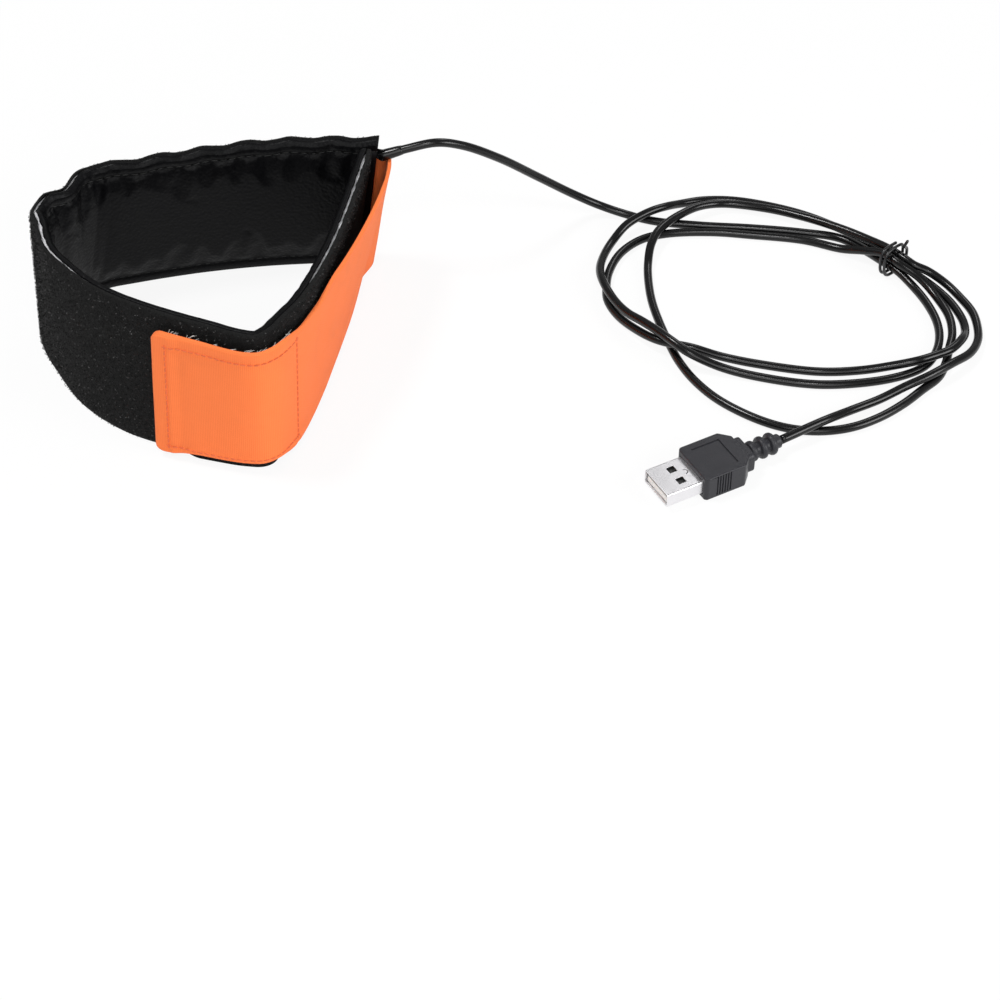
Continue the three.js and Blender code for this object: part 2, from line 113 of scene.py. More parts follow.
class Nodes:
    def __init__(self, tree):
        self.tree = tree

    def node(self, kind, settings=(), values=(), output=0):
        made = self.tree.nodes.new(kind)
        for name, value in dict(settings).items():
            if name == "stops":
                stops = made.color_ramp.elements
                while len(stops) < len(value):
                    stops.new(0.5)
                for stop, (place, colour) in zip(stops, value):
                    stop.position, stop.color = place, colour
            else:
                setattr(made, name, value)
        for name, value in dict(values).items():
            if isinstance(value, Link):
                self.tree.links.new(value.socket, made.inputs[name])
            else:
                made.inputs[name].default_value = value
        return Link(self, made.outputs[output]) if made.outputs else None

    def mix(self, share, first, second):
        values = {0: share, 6: first, 7: second}
        return self.node("ShaderNodeMix", {"data_type": "RGBA"}, values, 2)

    def noise(self, vector, scale, detail=2.0, rough=0.5):
        values = {"Vector": vector, "Scale": scale, "Detail": detail, "Roughness": rough}
        return self.node("ShaderNodeTexNoise", {}, values)

    def cells(self, vector, scale, feature="F1"):
        return self.node("ShaderNodeTexVoronoi", {"feature": feature}, {"Vector": vector, "Scale": scale})

    def bump(self, height, distance, strength):
        values = {"Height": height, "Distance": distance, "Strength": strength}
        return self.node("ShaderNodeBump", {}, values)

    def position(self):
        return self.node("ShaderNodeTexCoord", output="Object")

    def way(self):
        # the piece's own way and height, in mm
        return self.node("ShaderNodeUVMap", {"uv_map": "way"})

    def drawn(self, scale):
        # streaks that run along the piece
        streaks = self.node("ShaderNodeMapping", {}, {"Vector": self.way(), "Scale": scale})
        return self.noise(streaks, 1.0, 3.0)


def grey(value):
    return (value, value, value, 1.0)


def colour(red, green, blue):
    return (red, green, blue, 1.0)


def newMaterial(name, look, shown):
    # look gives the sockets that vary, and shown is the colour used outside the renderer
    material = bpy.data.materials.new(name)
    material.use_nodes = True
    material.diffuse_color = shown
    material.node_tree.nodes.clear()
    nodes = Nodes(material.node_tree)
    shader = nodes.node("ShaderNodeBsdfPrincipled", {}, look(nodes))
    nodes.node("ShaderNodeOutputMaterial", {}, {"Surface": shader})
    return material


# ---- curves and walls

class Path:
    # a smooth curve through points, read by its share of the length
    def __init__(self, points, steps=40):
        p = np.array(points, float)
        ends = np.vstack([2 * p[0] - p[1], p, 2 * p[-1] - p[-2]])
        u = np.linspace(0.0, 1.0, steps, endpoint=False)[:, None]
        rows = []
        for i in range(len(p) - 1):
            x0, x1, x2, x3 = ends[i:i + 4]
            gaps = ((x0, x1), (x1, x2), (x2, x3))
            d0, d1, d2 = (math.sqrt(np.linalg.norm(b - a)) for a, b in gaps)
            t1 = ((x1 - x0) / d0 - (x2 - x0) / (d0 + d1) + (x2 - x1) / d1) * d1
            t2 = ((x2 - x1) / d1 - (x3 - x1) / (d1 + d2) + (x3 - x2) / d2) * d1
            square, cube = 3 * (x2 - x1) - 2 * t1 - t2, 2 * (x1 - x2) + t1 + t2
            rows.append(x1 + t1 * u + square * u ** 2 + cube * u ** 3)
        self.points = np.vstack(rows + [p[-1:]])
        strides = np.linalg.norm(np.diff(self.points, axis=0), axis=1)
        self.way = np.concatenate([[0], np.cumsum(strides)])
        self.length = self.way[-1]

    def at(self, share):
        way = np.clip(share, 0, 1) * self.length
        return np.stack([np.interp(way, self.way, self.points[:, k]) for k in range(3)], -1)

    def tangent(self, share, step=2e-3):
        way = self.at(np.asarray(share) + step) - self.at(np.asarray(share) - step)
        return way / np.linalg.norm(way, axis=-1, keepdims=True)


class Wall:
    # a wall between two edges: along it, outwards from it, and up it
    def __init__(self, low, high):
        self.low, self.high = Path(low), Path(high)
        self.length = (self.low.length + self.high.length) / 2

    def at(self, along, out, share):
        along, out, share = np.broadcast_arrays(along, out, share)
        w = along / self.length
        point = self.low.at(w) * (1 - share)[..., None] + self.high.at(w) * share[..., None]
        way = (self.low.tangent(w) + self.high.tangent(w)) * [1, 1, 0]
        way /= np.linalg.norm(way, axis=-1, keepdims=True)
        point[..., 0] += way[..., 1] * out
        point[..., 1] -= way[..., 0] * out
        return point


def smooth(x, low, high):
    x = np.clip((np.asarray(x, float) - low) / (high - low), 0, 1)
    return x * x * (3 - 2 * x)


def between(x, rise, fall):
    # 1 from the end of the rise to the start of the fall, and 0 outside them
    return smooth(x, *rise) * (1 - smooth(x, *fall))


def wander(x, pitch, seed):
    # an uneven wave from -1 to 1 that gives the same result each run
    dice = np.random.default_rng(seed)
    turn = 2 * np.pi * np.asarray(x)
    total = 0
    for k in range(5):
        stretch, shift = dice.uniform(0.6, 1.7), dice.uniform(0, 6.3)
        total = total + math.sqrt(1 / (k + 1)) * np.sin(turn / (pitch * stretch) + shift)
    return total / 2.2


def stations(start, end, step=3.0):
    return np.linspace(start, end, max(1, math.floor((end - start) / step + 0.5)) + 1)


strip = {
    "width": 47.0, "thick": 4.0,
    "ripple": 0.35, "ripplePitch": 13.0, "rippleFade": (112.0, 132.0),  # the upper edge waves
    "flare": 2.2, "flareHeight": 3.2,  # the lower edge turns out under the strap
    "flareRise": (182, 190), "flareFall": (210, 217),
    "outline": [
        (48.0, 45.9, 41.8, 48.2), (38.0, 46.0, 34.6, 48.6), (26.0, 45.9, 25.2, 48.1),
        (10.0, 44.0, 10.0, 46.7), (-8.5, 39.6, -8.5, 43.6), (-27.0, 34.3, -27.5, 38.8),
        (-35.2, 32.4, -37.0, 35.6), (-39.8, 27.6, -43.0, 30.8), (-42.8, 21.2, -47.2, 25.2),
        (-47.8, 17.0, -51.4, 19.4), (-50.4, 10.2, -53.0, 11.4), (-48.4, 3.8, -51.4, 3.6),
        (-44.6, -7.6, -45.6, -7.6), (-37.4, -17.0, -38.4, -19.2), (-30.2, -24.3, -30.7, -27.2),
        (-21.2, -30.6, -21.4, -33.8), (-8.5, -37.0, -8.5, -39.4), (4.5, -42.4, 4.5, -43.4),
        (12.8, -45.8, 12.6, -45.2), (18.2, -46.6, 17.6, -45.2), (22.2, -43.6, 21.2, -41.8),
        (26.0, -37.5, 24.8, -35.8), (30.4, -30.0, 28.2, -27.8), (34.4, -19.4, 30.8, -16.8),
        (38.8, -4.0, 33.6, -1.4), (43.0, 17.0, 37.0, 19.2), (46.6, 38.6, 39.6, 41.0),
    ],  # outer face: top x, top y, bottom x, bottom y, from the end with the strap
}
stripWall = Wall([(p[2], p[3], 0) for p in strip["outline"]],
                 [(p[0], p[1], strip["width"]) for p in strip["outline"]])


def onStrip(along, out, height):
    # out is counted from the inner face
    height = np.asarray(height, float)
    low = np.clip(1 - height / strip["flareHeight"], 0, 1) ** 1.3
    flare = strip["flare"] * between(along, strip["flareRise"], strip["flareFall"]) * low
    out = np.asarray(out, float) + flare - strip["thick"]
    point = stripWall.at(along, out, height / strip["width"])
    fade = 1 - smooth(along, *strip["rippleFade"])
    wave = strip["ripple"] * fade * np.cos(2 * np.pi * np.asarray(along) / strip["ripplePitch"])
    point[..., 2] += wave * np.maximum(0, height / strip["width"])
    return point


# ---- meshes

def metres(points):
    return (np.asarray(points, float) + centring) * 0.001


def newObject(name, mesh, materials=()):
    obj = bpy.data.objects.new(name, mesh)
    scene.collection.objects.link(obj)
    for material in materials:
        mesh.materials.append(material)
    return obj


def outwards(mesh):
    mesh.calc_loop_triangles()
    triangles = np.array([t.vertices[:] for t in mesh.loop_triangles])
    points = np.array([v.co[:] for v in mesh.vertices])
    a, b, c = (points[triangles[:, k]] for k in range(3))
    if np.einsum("ij,ij->i", a, np.cross(b, c)).sum() < 0:
        mesh.flip_normals()


def ringMesh(name, rings, material, way=0.0, around=None, closed=True, sharp=None):
    # rings of points in mm, joined to a skin
    # way and around become its texture map, in mm
    n, m = rings.shape[:2]
    columns = m if closed else m - 1
    faces, maps = [], []
    way = np.broadcast_to(way, (n, m))
    around = np.broadcast_to(np.arange(m, dtype=float) if around is None else around, (n, m))
    last = 2 * around[:, -1] - around[:, -2]
    around = np.concatenate([around, last[:, None]], 1)
    way = np.concatenate([way, way[:, -1:]], 1)
    for i in range(n - 1):
        for j in range(columns):
            k = (j + 1) % m
            faces.append((i * m + j, i * m + k, (i + 1) * m + k, (i + 1) * m + j))
            maps.extend([(way[i, j], around[i, j]), (way[i, j + 1], around[i, j + 1]),
                         (way[i + 1, j + 1], around[i + 1, j + 1]), (way[i + 1, j], around[i + 1, j])])
    if closed:
        for i, turn in ((0, -1), (n - 1, 1)):
            order = list(range(m))[::turn]
            faces.append(tuple(i * m + j for j in order))
            maps.extend((way[i, j], around[i, j]) for j in order)
    mesh = bpy.data.meshes.new(name)
    mesh.from_pydata(metres(rings.reshape(-1, 3)).tolist(), [], faces)
    layer = mesh.uv_layers.new(name="way")
    layer.data.foreach_set("uv", np.array(maps, np.float32).ravel())
    mesh.shade_smooth()
    if closed:
        outwards(mesh)
    if sharp is not None:
        mesh.set_sharp_from_angle(angle=math.radians(sharp))
    return newObject(name, mesh, [material])


def tubeRings(points, radius, sides):
    # round rings along a line, turned as little as they can be
    points = np.asarray(points, float)
    way = np.gradient(points, axis=0)
    way /= np.linalg.norm(way, axis=1, keepdims=True)
    up = np.cross(way[0], [0.3, 0.2, 0.9])
    rings = []
    radius = np.broadcast_to(radius, len(points))
    turns = np.arange(sides) * 2 * np.pi / sides
    for point, ahead, r in zip(points, way, radius):
        up = up - ahead * up.dot(ahead)
        up /= np.linalg.norm(up)
        side = np.cross(ahead, up)
        rings.append(point + r * (np.cos(turns)[:, None] * up + np.sin(turns)[:, None] * side))
    return np.array(rings)


def settle(obj, node):
    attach(obj, "root")
    if node:
        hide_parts(node)


# ---- geometry trees

def newTree(name, inputs):
    # inputs are (name, socket type, default)
    tree = bpy.data.node_groups.new(name, "GeometryNodeTree")
    tree.interface.new_socket(name="Geometry", in_out="INPUT", socket_type="NodeSocketGeometry")
    for title, kind, default in inputs:
        socket = tree.interface.new_socket(name=title, in_out="INPUT", socket_type=kind)
        if default is not None:
            socket.default_value = default
    tree.interface.new_socket(name="Geometry", in_out="OUTPUT", socket_type="NodeSocketGeometry")
    nodes = Nodes(tree)
    return nodes, nodes.node("NodeGroupInput")


def evaluated(obj):
    # the mesh that the object's modifiers make
    depsgraph = bpy.context.evaluated_depsgraph_get()
    depsgraph.update()
    return bpy.data.meshes.new_from_object(obj.evaluated_get(depsgraph), depsgraph=depsgraph)


def grown(name, ground, tree, sizes):
    # runs a tree on an object and keeps the result as a plain mesh
    modifier = ground.modifiers.new(name, "NODES")
    modifier.node_group = tree
    for item in tree.interface.items_tree:
        if item.in_out == "INPUT" and item.name in sizes:
            modifier[item.identifier] = sizes[item.name]
    ground.update_tag()
    mesh = evaluated(ground)
    mesh.name = name
    mesh.shade_smooth()
    bpy.data.objects.remove(ground)
    return newObject(name, mesh)


def seedMesh(name, points, faces):
    mesh = bpy.data.meshes.new(name)
    mesh.from_pydata((np.asarray(points) * 0.001).tolist(), [], faces)
    seed = newObject(name, mesh)
    seed.hide_render = True
    return seed


def lineObject(name, lines):
    mesh = bpy.data.meshes.new(name)
    points, edges = [], []
    for line in lines:
        first = len(points)
        points.extend(metres(line).tolist())
        edges.extend((first + i, first + i + 1) for i in range(len(line) - 1))
    mesh.from_pydata(points, edges, [])
    return newObject(name, mesh)


def turnedBy(nodes, copies, most, share, seed):
    # each copy turns by up to a share of the most, either way
    turn = nodes.node("FunctionNodeRandomValue", {"data_type": "FLOAT_VECTOR"},
                      {0: tuple(-angle for angle in most), 1: most, "Seed": seed})
    turn = nodes.node("ShaderNodeVectorMath", {"operation": "SCALE"}, {0: turn, "Scale": share})
    return nodes.node("GeometryNodeRotateInstances", {}, {"Instances": copies, "Rotation": turn})


def dressed(nodes, given, copies):
    # ends a tree: the copies become plain faces with their material
    real = nodes.node("GeometryNodeRealizeInstances", {}, {0: copies})
    values = {"Geometry": real, "Material": given.out("Material")}
    nodes.node("NodeGroupOutput", {}, {0: nodes.node("GeometryNodeSetMaterial", {}, values)})
    return nodes.tree


def stitchTree():
    # threads laid end to end along lines
    nodes, given = newTree("stitchRow", [
        ("Pitch", "NodeSocketFloat", 0.002), ("Thread", "NodeSocketObject", None),
        ("Uneven", "NodeSocketFloat", 0.05), ("Seed", "NodeSocketInt", 3),
        ("Material", "NodeSocketMaterial", None),
    ])
    curve = nodes.node("GeometryNodeMeshToCurve", {}, {0: given.out("Geometry")})
    spots = nodes.node("GeometryNodeCurveToPoints", {"mode": "LENGTH"},
                       {"Curve": curve, "Length": given.out("Pitch")})
    turn = nodes.node("FunctionNodeAlignRotationToVector", {"axis": "X"}, {"Vector": spots.out("Tangent")})
    thread = nodes.node("GeometryNodeObjectInfo", {}, {"Object": given.out("Thread")}, "Geometry")
    placed = nodes.node("GeometryNodeInstanceOnPoints", {},
                        {"Points": spots, "Instance": thread, "Rotation": turn})
    turned = turnedBy(nodes, placed, (1.0, 1.0, 1.0), given.out("Uneven"), given.out("Seed"))
    return dressed(nodes, given, turned)


def tuftTree():
    # small loops or hairs scattered over faces, each with a random value of its own, which the yarn's colour
    # turns into its black tone and, on the lightest few, a painted highlight
    nodes, given = newTree("scatter", [
        ("Density", "NodeSocketFloat", 1.0), ("Tuft", "NodeSocketObject", None),
        ("Lean", "NodeSocketFloat", 0.5), ("Smallest", "NodeSocketFloat", 0.7),
        ("Largest", "NodeSocketFloat", 1.2), ("Seed", "NodeSocketInt", 3),
        ("Material", "NodeSocketMaterial", None),
    ])
    seed = given.out("Seed")
    spots = nodes.node("GeometryNodeDistributePointsOnFaces", {"distribute_method": "RANDOM"},
                       {"Mesh": given.out("Geometry"), "Density": given.out("Density"), "Seed": seed})
    tuft = nodes.node("GeometryNodeObjectInfo", {}, {"Object": given.out("Tuft")}, "Geometry")
    size = nodes.node("FunctionNodeRandomValue", {"data_type": "FLOAT"},
                      {2: given.out("Smallest"), 3: given.out("Largest"), "Seed": seed + 1.0}, 1)
    placed = nodes.node("GeometryNodeInstanceOnPoints", {},
                        {"Points": spots, "Instance": tuft, "Rotation": spots.out("Rotation"), "Scale": size})
    turned = turnedBy(nodes, placed, (1.0, 1.0, 4.0), given.out("Lean"), seed + 2.0)
    shade = nodes.node("FunctionNodeRandomValue", {"data_type": "FLOAT"},
                       {2: 0.0, 3: 1.0, "Seed": seed + 3.0}, 1)
    shaded = nodes.node("GeometryNodeStoreNamedAttribute", {"data_type": "FLOAT", "domain": "INSTANCE"},
                        {"Geometry": turned, "Name": "shade", "Value": shade})
    return dressed(nodes, given, shaded)


stitchRow = stitchTree()
scatter = tuftTree()


def threadSeed(name, length, thick, sides=6):
    # a short thread along x whose ends go down into the cloth
    places = np.array([-0.5, -0.42, -0.2, 0.0, 0.2, 0.42, 0.5]) * length
    radii = np.array([0.25, 0.7, 0.95, 1.0, 0.95, 0.7, 0.25]) * thick / 2
    points = np.array([(x, math.cos(a) * r, math.sin(a) * r) for x, r in zip(places, radii)
                       for a in np.arange(sides) * 2 * np.pi / sides])
    faces = []
    for i in range(0, len(points) - sides, sides):
        for j in range(sides):
            k = (j + 1) % sides
            faces.append((i + j, i + sides + j, i + sides + k, i + k))
    faces += [tuple(range(sides)), tuple(range(len(points) - 1, len(points) - 1 - sides, -1))]
    return seedMesh(name, points, faces)


def ribbonSeed(name, line, wide):
    # a flat fibre that follows a line in its own x, z plane
    line = np.asarray(line, float)
    points = [(x, side * wide / 2, z) for x, z in line for side in (-1, 1)]
    faces = [(2 * i, 2 * i + 2, 2 * i + 3, 2 * i + 1) for i in range(len(line) - 1)]
    return seedMesh(name, points, faces)


def sew(name, lines, seam, stitch, settings):
    # a row of stitches on each line; stitch is one thread's length and thickness
    thread = threadSeed(name + "Thread", *stitch)
    sizes = {"Pitch": seam * 0.001, "Thread": thread, **settings}
    rows = grown(name, lineObject(name + "Lines", lines), stitchRow, sizes)
    bpy.data.objects.remove(thread)
    settle(rows, None)


print("tools ready")


# ---- cable

cable = {
    "thick": 2.6, "sides": 18, "step": 1.25, "length": 1.182, "sleeve": 6.0,
    "route": [
        (48.9, 42.9, 41.8), (56, 43.5, 43.8), (64.5, 44.8, 45), (72, 47.6, 42), (83, 53.6, 33),
        (95, 61, 20.5), (106, 66.6, 9.8), (114, 68.2, 4.4), (122, 67, 1.9), (131, 63.8, 1.5),
        (145, 61.6, 1.45), (161, 60.2, 1.45), (177, 58, 1.45), (188, 55.2, 1.5), (194.4, 49.3, 1.9),
        (199.4, 42, 3.1), (203.6, 37.2, 3.1), (208.2, 30.8, 1.7), (211.2, 23.5, 1.5), (213, 15.5, 1.45),
        (213, 8.5, 1.45), (211.2, 1.5, 1.45), (207.8, -4.2, 1.45), (203, -7.8, 1.45), (193, -11.4, 1.45),
        (176, -13.1, 1.45), (160, -10.2, 1.45), (147.5, -7, 2.8), (138, -4.4, 6.2), (133.6, -0.8, 7.3),
        (129.4, 4, 7.3), (125, 9.2, 6.7), (121, 14.6, 5.4), (117.4, 21.6, 4.5), (114.4, 29.8, 4.6),
        (113.6, 37.5, 3.3), (115, 46, 1.8), (118, 53.6, 1.6), (122.6, 59.4, 3.6), (129.4, 63.9, 4.9),
        (135, 67.4, 4.4), (140, 71.6, 2.3), (147, 74.4, 1.45), (156, 74.4, 1.45), (166, 72, 1.45),
        (178, 67, 1.45), (189, 59.6, 1.5), (196.4, 52.2, 2), (201.6, 44.1, 3.1), (205.8, 39.3, 3.1),
        (211, 35.6, 1.5), (215.4, 29.4, 1.45), (218.6, 23.4, 1.45), (220.8, 16, 1.45), (220.6, 9.4, 2.3),
        (218.4, 3.4, 4.3), (214.6, -1.4, 4.7), (210, -3.8, 4.6), (205, -6, 4.6), (197.5, -6.6, 3.1),
        (188, -7, 1.6), (176, -7.4, 1.45), (160, -4.4, 1.45), (148, -1.6, 2.2), (139.4, -0.2, 4.4),
        (133.6, 1.4, 4.6), (129.2, 3.6, 4.3), (124.4, 8.6, 3.2), (118.6, 17.6, 1.5), (115.6, 25, 1.45),
        (115.4, 31, 1.45), (116.4, 38.5, 1.45), (120.4, 48, 1.45), (127, 54.6, 1.45), (135, 57.4, 1.5),
        (149, 58, 1.6), (161, 56.8, 1.45), (177, 54.2, 1.45), (188, 49.4, 1.9), (194.4, 45.2, 4.5),
        (199.4, 42, 6.1), (203.6, 37.2, 6.1), (209.8, 32.6, 4), (214.4, 25.6, 2), (217, 17.6, 1.45),
        (216.9, 9.5, 1.45), (215.2, 3, 1.45), (213.4, -3.4, 1.45), (210.5, -9.8, 1.45),
        (205, -15.4, 1.45), (199, -21.4, 1.45), (191, -27.5, 1.45), (182.5, -31.6, 1.45),
        (173.5, -33, 1.45), (165, -31.8, 1.45), (156.6, -28, 1.45), (146.3, -20, 1.45),
        (139.8, -11.6, 1.45), (135.6, -3, 1.45), (133, 5.4, 1.45), (130.6, 15, 1.45), (128.8, 25, 1.45),
        (128.2, 35, 1.45), (128.4, 42, 1.8), (129.4, 48.6, 3.5), (131.6, 54.4, 4.3), (134.6, 58.8, 4.3),
        (139, 63.2, 4.3), (145.4, 68.2, 3.8), (153, 70.9, 2.8), (166, 68.6, 2.8), (177.4, 63.2, 3.6),
        (188.6, 55.8, 4.6), (195.8, 50, 5.2), (201.6, 44.1, 6.1), (205.8, 39.3, 6.1), (208.6, 36.9, 5.4),
        (212.6, 35.8, 4.1), (217.6, 31.8, 2.6), (221.4, 26.2, 1.7), (224.2, 19.6, 1.5),
        (224.8, 12.6, 1.5), (223.9, 6, 1.9), (220.6, -0.9, 3), (214.4, -7, 4.3), (207.2, -12.4, 4.3),
        (200.4, -15.8, 3.4), (192, -20.4, 2.2), (183.5, -25.4, 2.6), (175.6, -31.4, 4.3),
        (170, -34.9, 4.4), (165.6, -37.5, 4.2), (162.1, -39.5, 4),
    ],  # mm, out of the strip, three turns, and into the plug
}


def cableLook(nodes):
    place = nodes.position()
    drawn = nodes.drawn((0.05, 2.2, 1.0))
    dust = nodes.noise(place, 900.0, 3.0, 0.7).between(0.62, 0.8)
    base = nodes.mix(drawn, colour(0.0012, 0.0012, 0.0014), colour(0.003, 0.003, 0.0034))
    base = nodes.mix(dust * 0.2, base, grey(0.02))
    rough = drawn * 0.06 + dust * 0.16 + 0.19
    normal = nodes.bump(nodes.noise(place, 300.0, 2.0), 0.000012, 0.35)
    return {"Base Color": base, "Roughness": rough, "Normal": normal, "Specular IOR Level": 0.36}


def addCable():
    path = Path(cable["route"])
    points = path.at(np.linspace(0, 1, int(path.length / cable["step"]) + 1))
    sides = cable["sides"]
    way = np.linspace(0, path.length, len(points))
    radius = cable["thick"] / 2 * (1 + 0.008 * wander(way, 40, 11))
    rings = tubeRings(points, radius, sides)
    around = np.arange(sides) * math.pi * cable["thick"] / sides
    obj = ringMesh("powerCable", rings, cableVinyl, way[:, None], around)
    settle(obj, "power_cable")
    return obj, metres(points)


def addExitSleeve():
    # a short sleeve that joins the cable to the strip's end
    path = Path(cable["route"])
    places = np.linspace(0, cable["sleeve"] / path.length, 10)
    inStrip = onStrip(1.0, strip["thick"] / 2, cable["route"][0][2])
    line = np.vstack([inStrip, path.at(places)])
    shares = np.concatenate([[0.46], np.linspace(0.68, 0.6, 7), [0.585, 0.56, 0.52]])
    rings = tubeRings(line, shares * cable["thick"], 20)
    settle(ringMesh("exitSleeve", rings, cableVinyl), None)


cableVinyl = newMaterial("cableVinyl", cableLook, grey(0.01))
cableObject, cablePath = addCable()
addExitSleeve()
print("cable laid")


# ---- tie

tie = {
    "thick": 0.95, "centre": (202.6, 40.65, 4.85), "yaw": -48.5, "half": 4.15, "corner": 0.68,
    "turns": 2, "pitch": 1.6, "tail": 3.2, "sides": 12, "steps": 260,
    "clear": 0.03,  # above the floor
}


def addTie():
    c, half, total = tie["corner"], tie["half"], 8 * tie["turns"]
    sides = [(c, 1), (-c, 1), (-1, c), (-1, -c), (-c, -1), (c, -1), (1, -c), (1, c)]
    points = []
    for i in range(total + 1):
        across, up = sides[i % 8]
        points.append((tie["pitch"] * (i / 8 - tie["turns"] / 2), across * half, up * half))
    x, y, z = points[-1]
    thick = tie["thick"]
    points += [(x + thick / 2, y - thick, z + thick), (x + thick, y, z + tie["tail"])]
    turn = np.array(Matrix.Rotation(math.radians(tie["yaw"]), 3, "Z"))
    path = Path(np.array(points) @ turn.T + tie["centre"])
    steps = tie["steps"]
    line = path.at(np.linspace(0, 1, steps))
    line[:, 2] = np.maximum(line[:, 2], thick / 2 + tie["clear"])
    ends = np.minimum(np.arange(steps), np.arange(steps)[::-1]) * path.length / steps
    radius = thick / 2 * np.sqrt(np.clip(ends / 0.5, 0.04, 1))
    way = np.linspace(0, path.length, steps)
    obj = ringMesh("cableTie", tubeRings(line, radius, tie["sides"]), tieVinyl, way[:, None])
    settle(obj, "cable_tie")
    return obj


def tieLook(nodes):
    place = nodes.position()
    grain = nodes.noise(place, 1400.0, 3.0)
    scuff = nodes.noise(place, 500.0, 4.0, 0.7).between(0.55, 0.75)
    base = nodes.mix(scuff, colour(0.006, 0.006, 0.007), grey(0.03))
    return {"Base Color": base, "Roughness": grain * 0.2 + scuff * 0.15 + 0.22,
            "Normal": nodes.bump(grain, 0.00003, 0.5)}


tieVinyl = newMaterial("tieVinyl", tieLook, grey(0.01))
tieObject = addTie()
print("tie wound")


# ---- padded strip

padding = {
    "step": 0.7,  # mm between rings
    "seam": 43.3, "lowSeam": 3.7,  # heights of the two seams
    "rimBulge": 0.6, "panelBulge": 0.55, "crease": 0.24, "creaseWidth": 0.55, "pucker": 0.22,
    "lip": 1.95,  # where lining and cover meet on the edge, counted outwards
    "pile": 3.55,  # ground of the loop pile
    "panelCap": 1.15,  # furthest that the sewn panel swells
    "folds": 0.55, "bend": ((70, 92), (128, 158)),  # folds where the strip bends most
    "seamPitch": 2.6, "seamThick": 0.42,
    "endWrap": 2.3,  # the lining is turned over the ends of the foam
    "gapLeft": ((84, 97), (128, 166)), "gapRight": ((233, 240), (292, 300)),  # where the foam shows
    "clothGrid": 1.5, "clothBend": ((78, 96), (132, 160)),
    "cloth": {
        "quality": 6, "mass": 0.15, "tension_stiffness": 12, "compression_stiffness": 12,
        "shear_stiffness": 6, "bending_stiffness": 0.12,
        "vertex_group_mass": "held", "vertex_group_shrink": "loose",
        "shrink_min": -0.015, "shrink_max": -0.07, "use_pressure": True, "uniform_pressure_force": 1.2,
    },
    "clothFrames": 22,
}


def edgeGap(along):
    # how far lining and cover part on the upper edge, in mm
    left, right = between(along, *padding["gapLeft"]), between(along, *padding["gapRight"])
    uneven = 0.75 + 0.35 * wander(along, 5.0, 5) + 0.2 * wander(along, 1.6, 6)
    return np.maximum(-0.1 + left * 1.05 * uneven, -0.1 + right * 0.85 * np.clip(uneven, 0.35, 1.2))


def simulatedPanel():
    # the panel between the seams as cloth, laid flat, ten times its size: how far it stands up, in mm
    length, low, high = stripWall.length, padding["lowSeam"], padding["seam"]
    grid = padding["clothGrid"]
    columns, rows = int(length / grid) + 1, int((high - low) / grid) + 1
    x, y = np.meshgrid(np.linspace(0, length, columns), np.linspace(low, high, rows), indexing="ij")
    mesh = bpy.data.meshes.new("panelCloth")
    points = np.stack([x * 0.01, y * 0.01, np.zeros_like(x)], -1).reshape(-1, 3)
    points[:, 2] += 0.004 * wander(points[:, 0] * 100, 9, 8) * np.sin(points[:, 1] * 20)
    faces = [(i * rows + j, (i + 1) * rows + j, (i + 1) * rows + j + 1, i * rows + j + 1)
             for i in range(columns - 1) for j in range(rows - 1)]
    mesh.from_pydata(points.tolist(), [], faces)
    cloth = newObject("panelCloth", mesh)
    held = cloth.vertex_groups.new(name="held")
    loose = cloth.vertex_groups.new(name="loose")
    bent = between(x, *padding["clothBend"]) + 0.4 * smooth(x, 205, 222)
    for index, (a, b) in enumerate(np.ndindex(columns, rows)):
        if a in (0, columns - 1) or b in (0, rows - 1):
            held.add([index], 1.0, "REPLACE")
        loose.add([index], float(min(1.0, bent[a, b])), "REPLACE")
    modifier = cloth.modifiers.new("cloth", "CLOTH")
    for setting, value in padding["cloth"].items():
        setattr(modifier.settings, setting, value)
    modifier.settings.effector_weights.gravity = 0
    modifier.collision_settings.use_collision = False
    modifier.point_cache.frame_end = padding["clothFrames"] + 2
    for number in range(padding["clothFrames"]):
        scene.frame_set(number + 1)
    depsgraph = bpy.context.evaluated_depsgraph_get()
    shape = cloth.evaluated_get(depsgraph).to_mesh()
    up = np.array([v.co.z for v in shape.vertices]).reshape(columns, rows) * 100
    scene.frame_set(1)
    bpy.data.objects.remove(cloth)
    print("panel cloth stands", round(float(up.min()), 2), "to", round(float(up.max()), 2), "mm")
    return x[:, 0], y[0], up


def panelSwell(along, height):
    # the cloth's rise at each point of a grid of along (column) and height (row)
    rise = np.stack([np.interp(height, panelHeights, row) for row in panelRise])
    return np.stack([np.interp(along, panelWay, rise[:, k]) for k in range(len(height))], 1)


panelWay, panelHeights, panelRise = simulatedPanel()


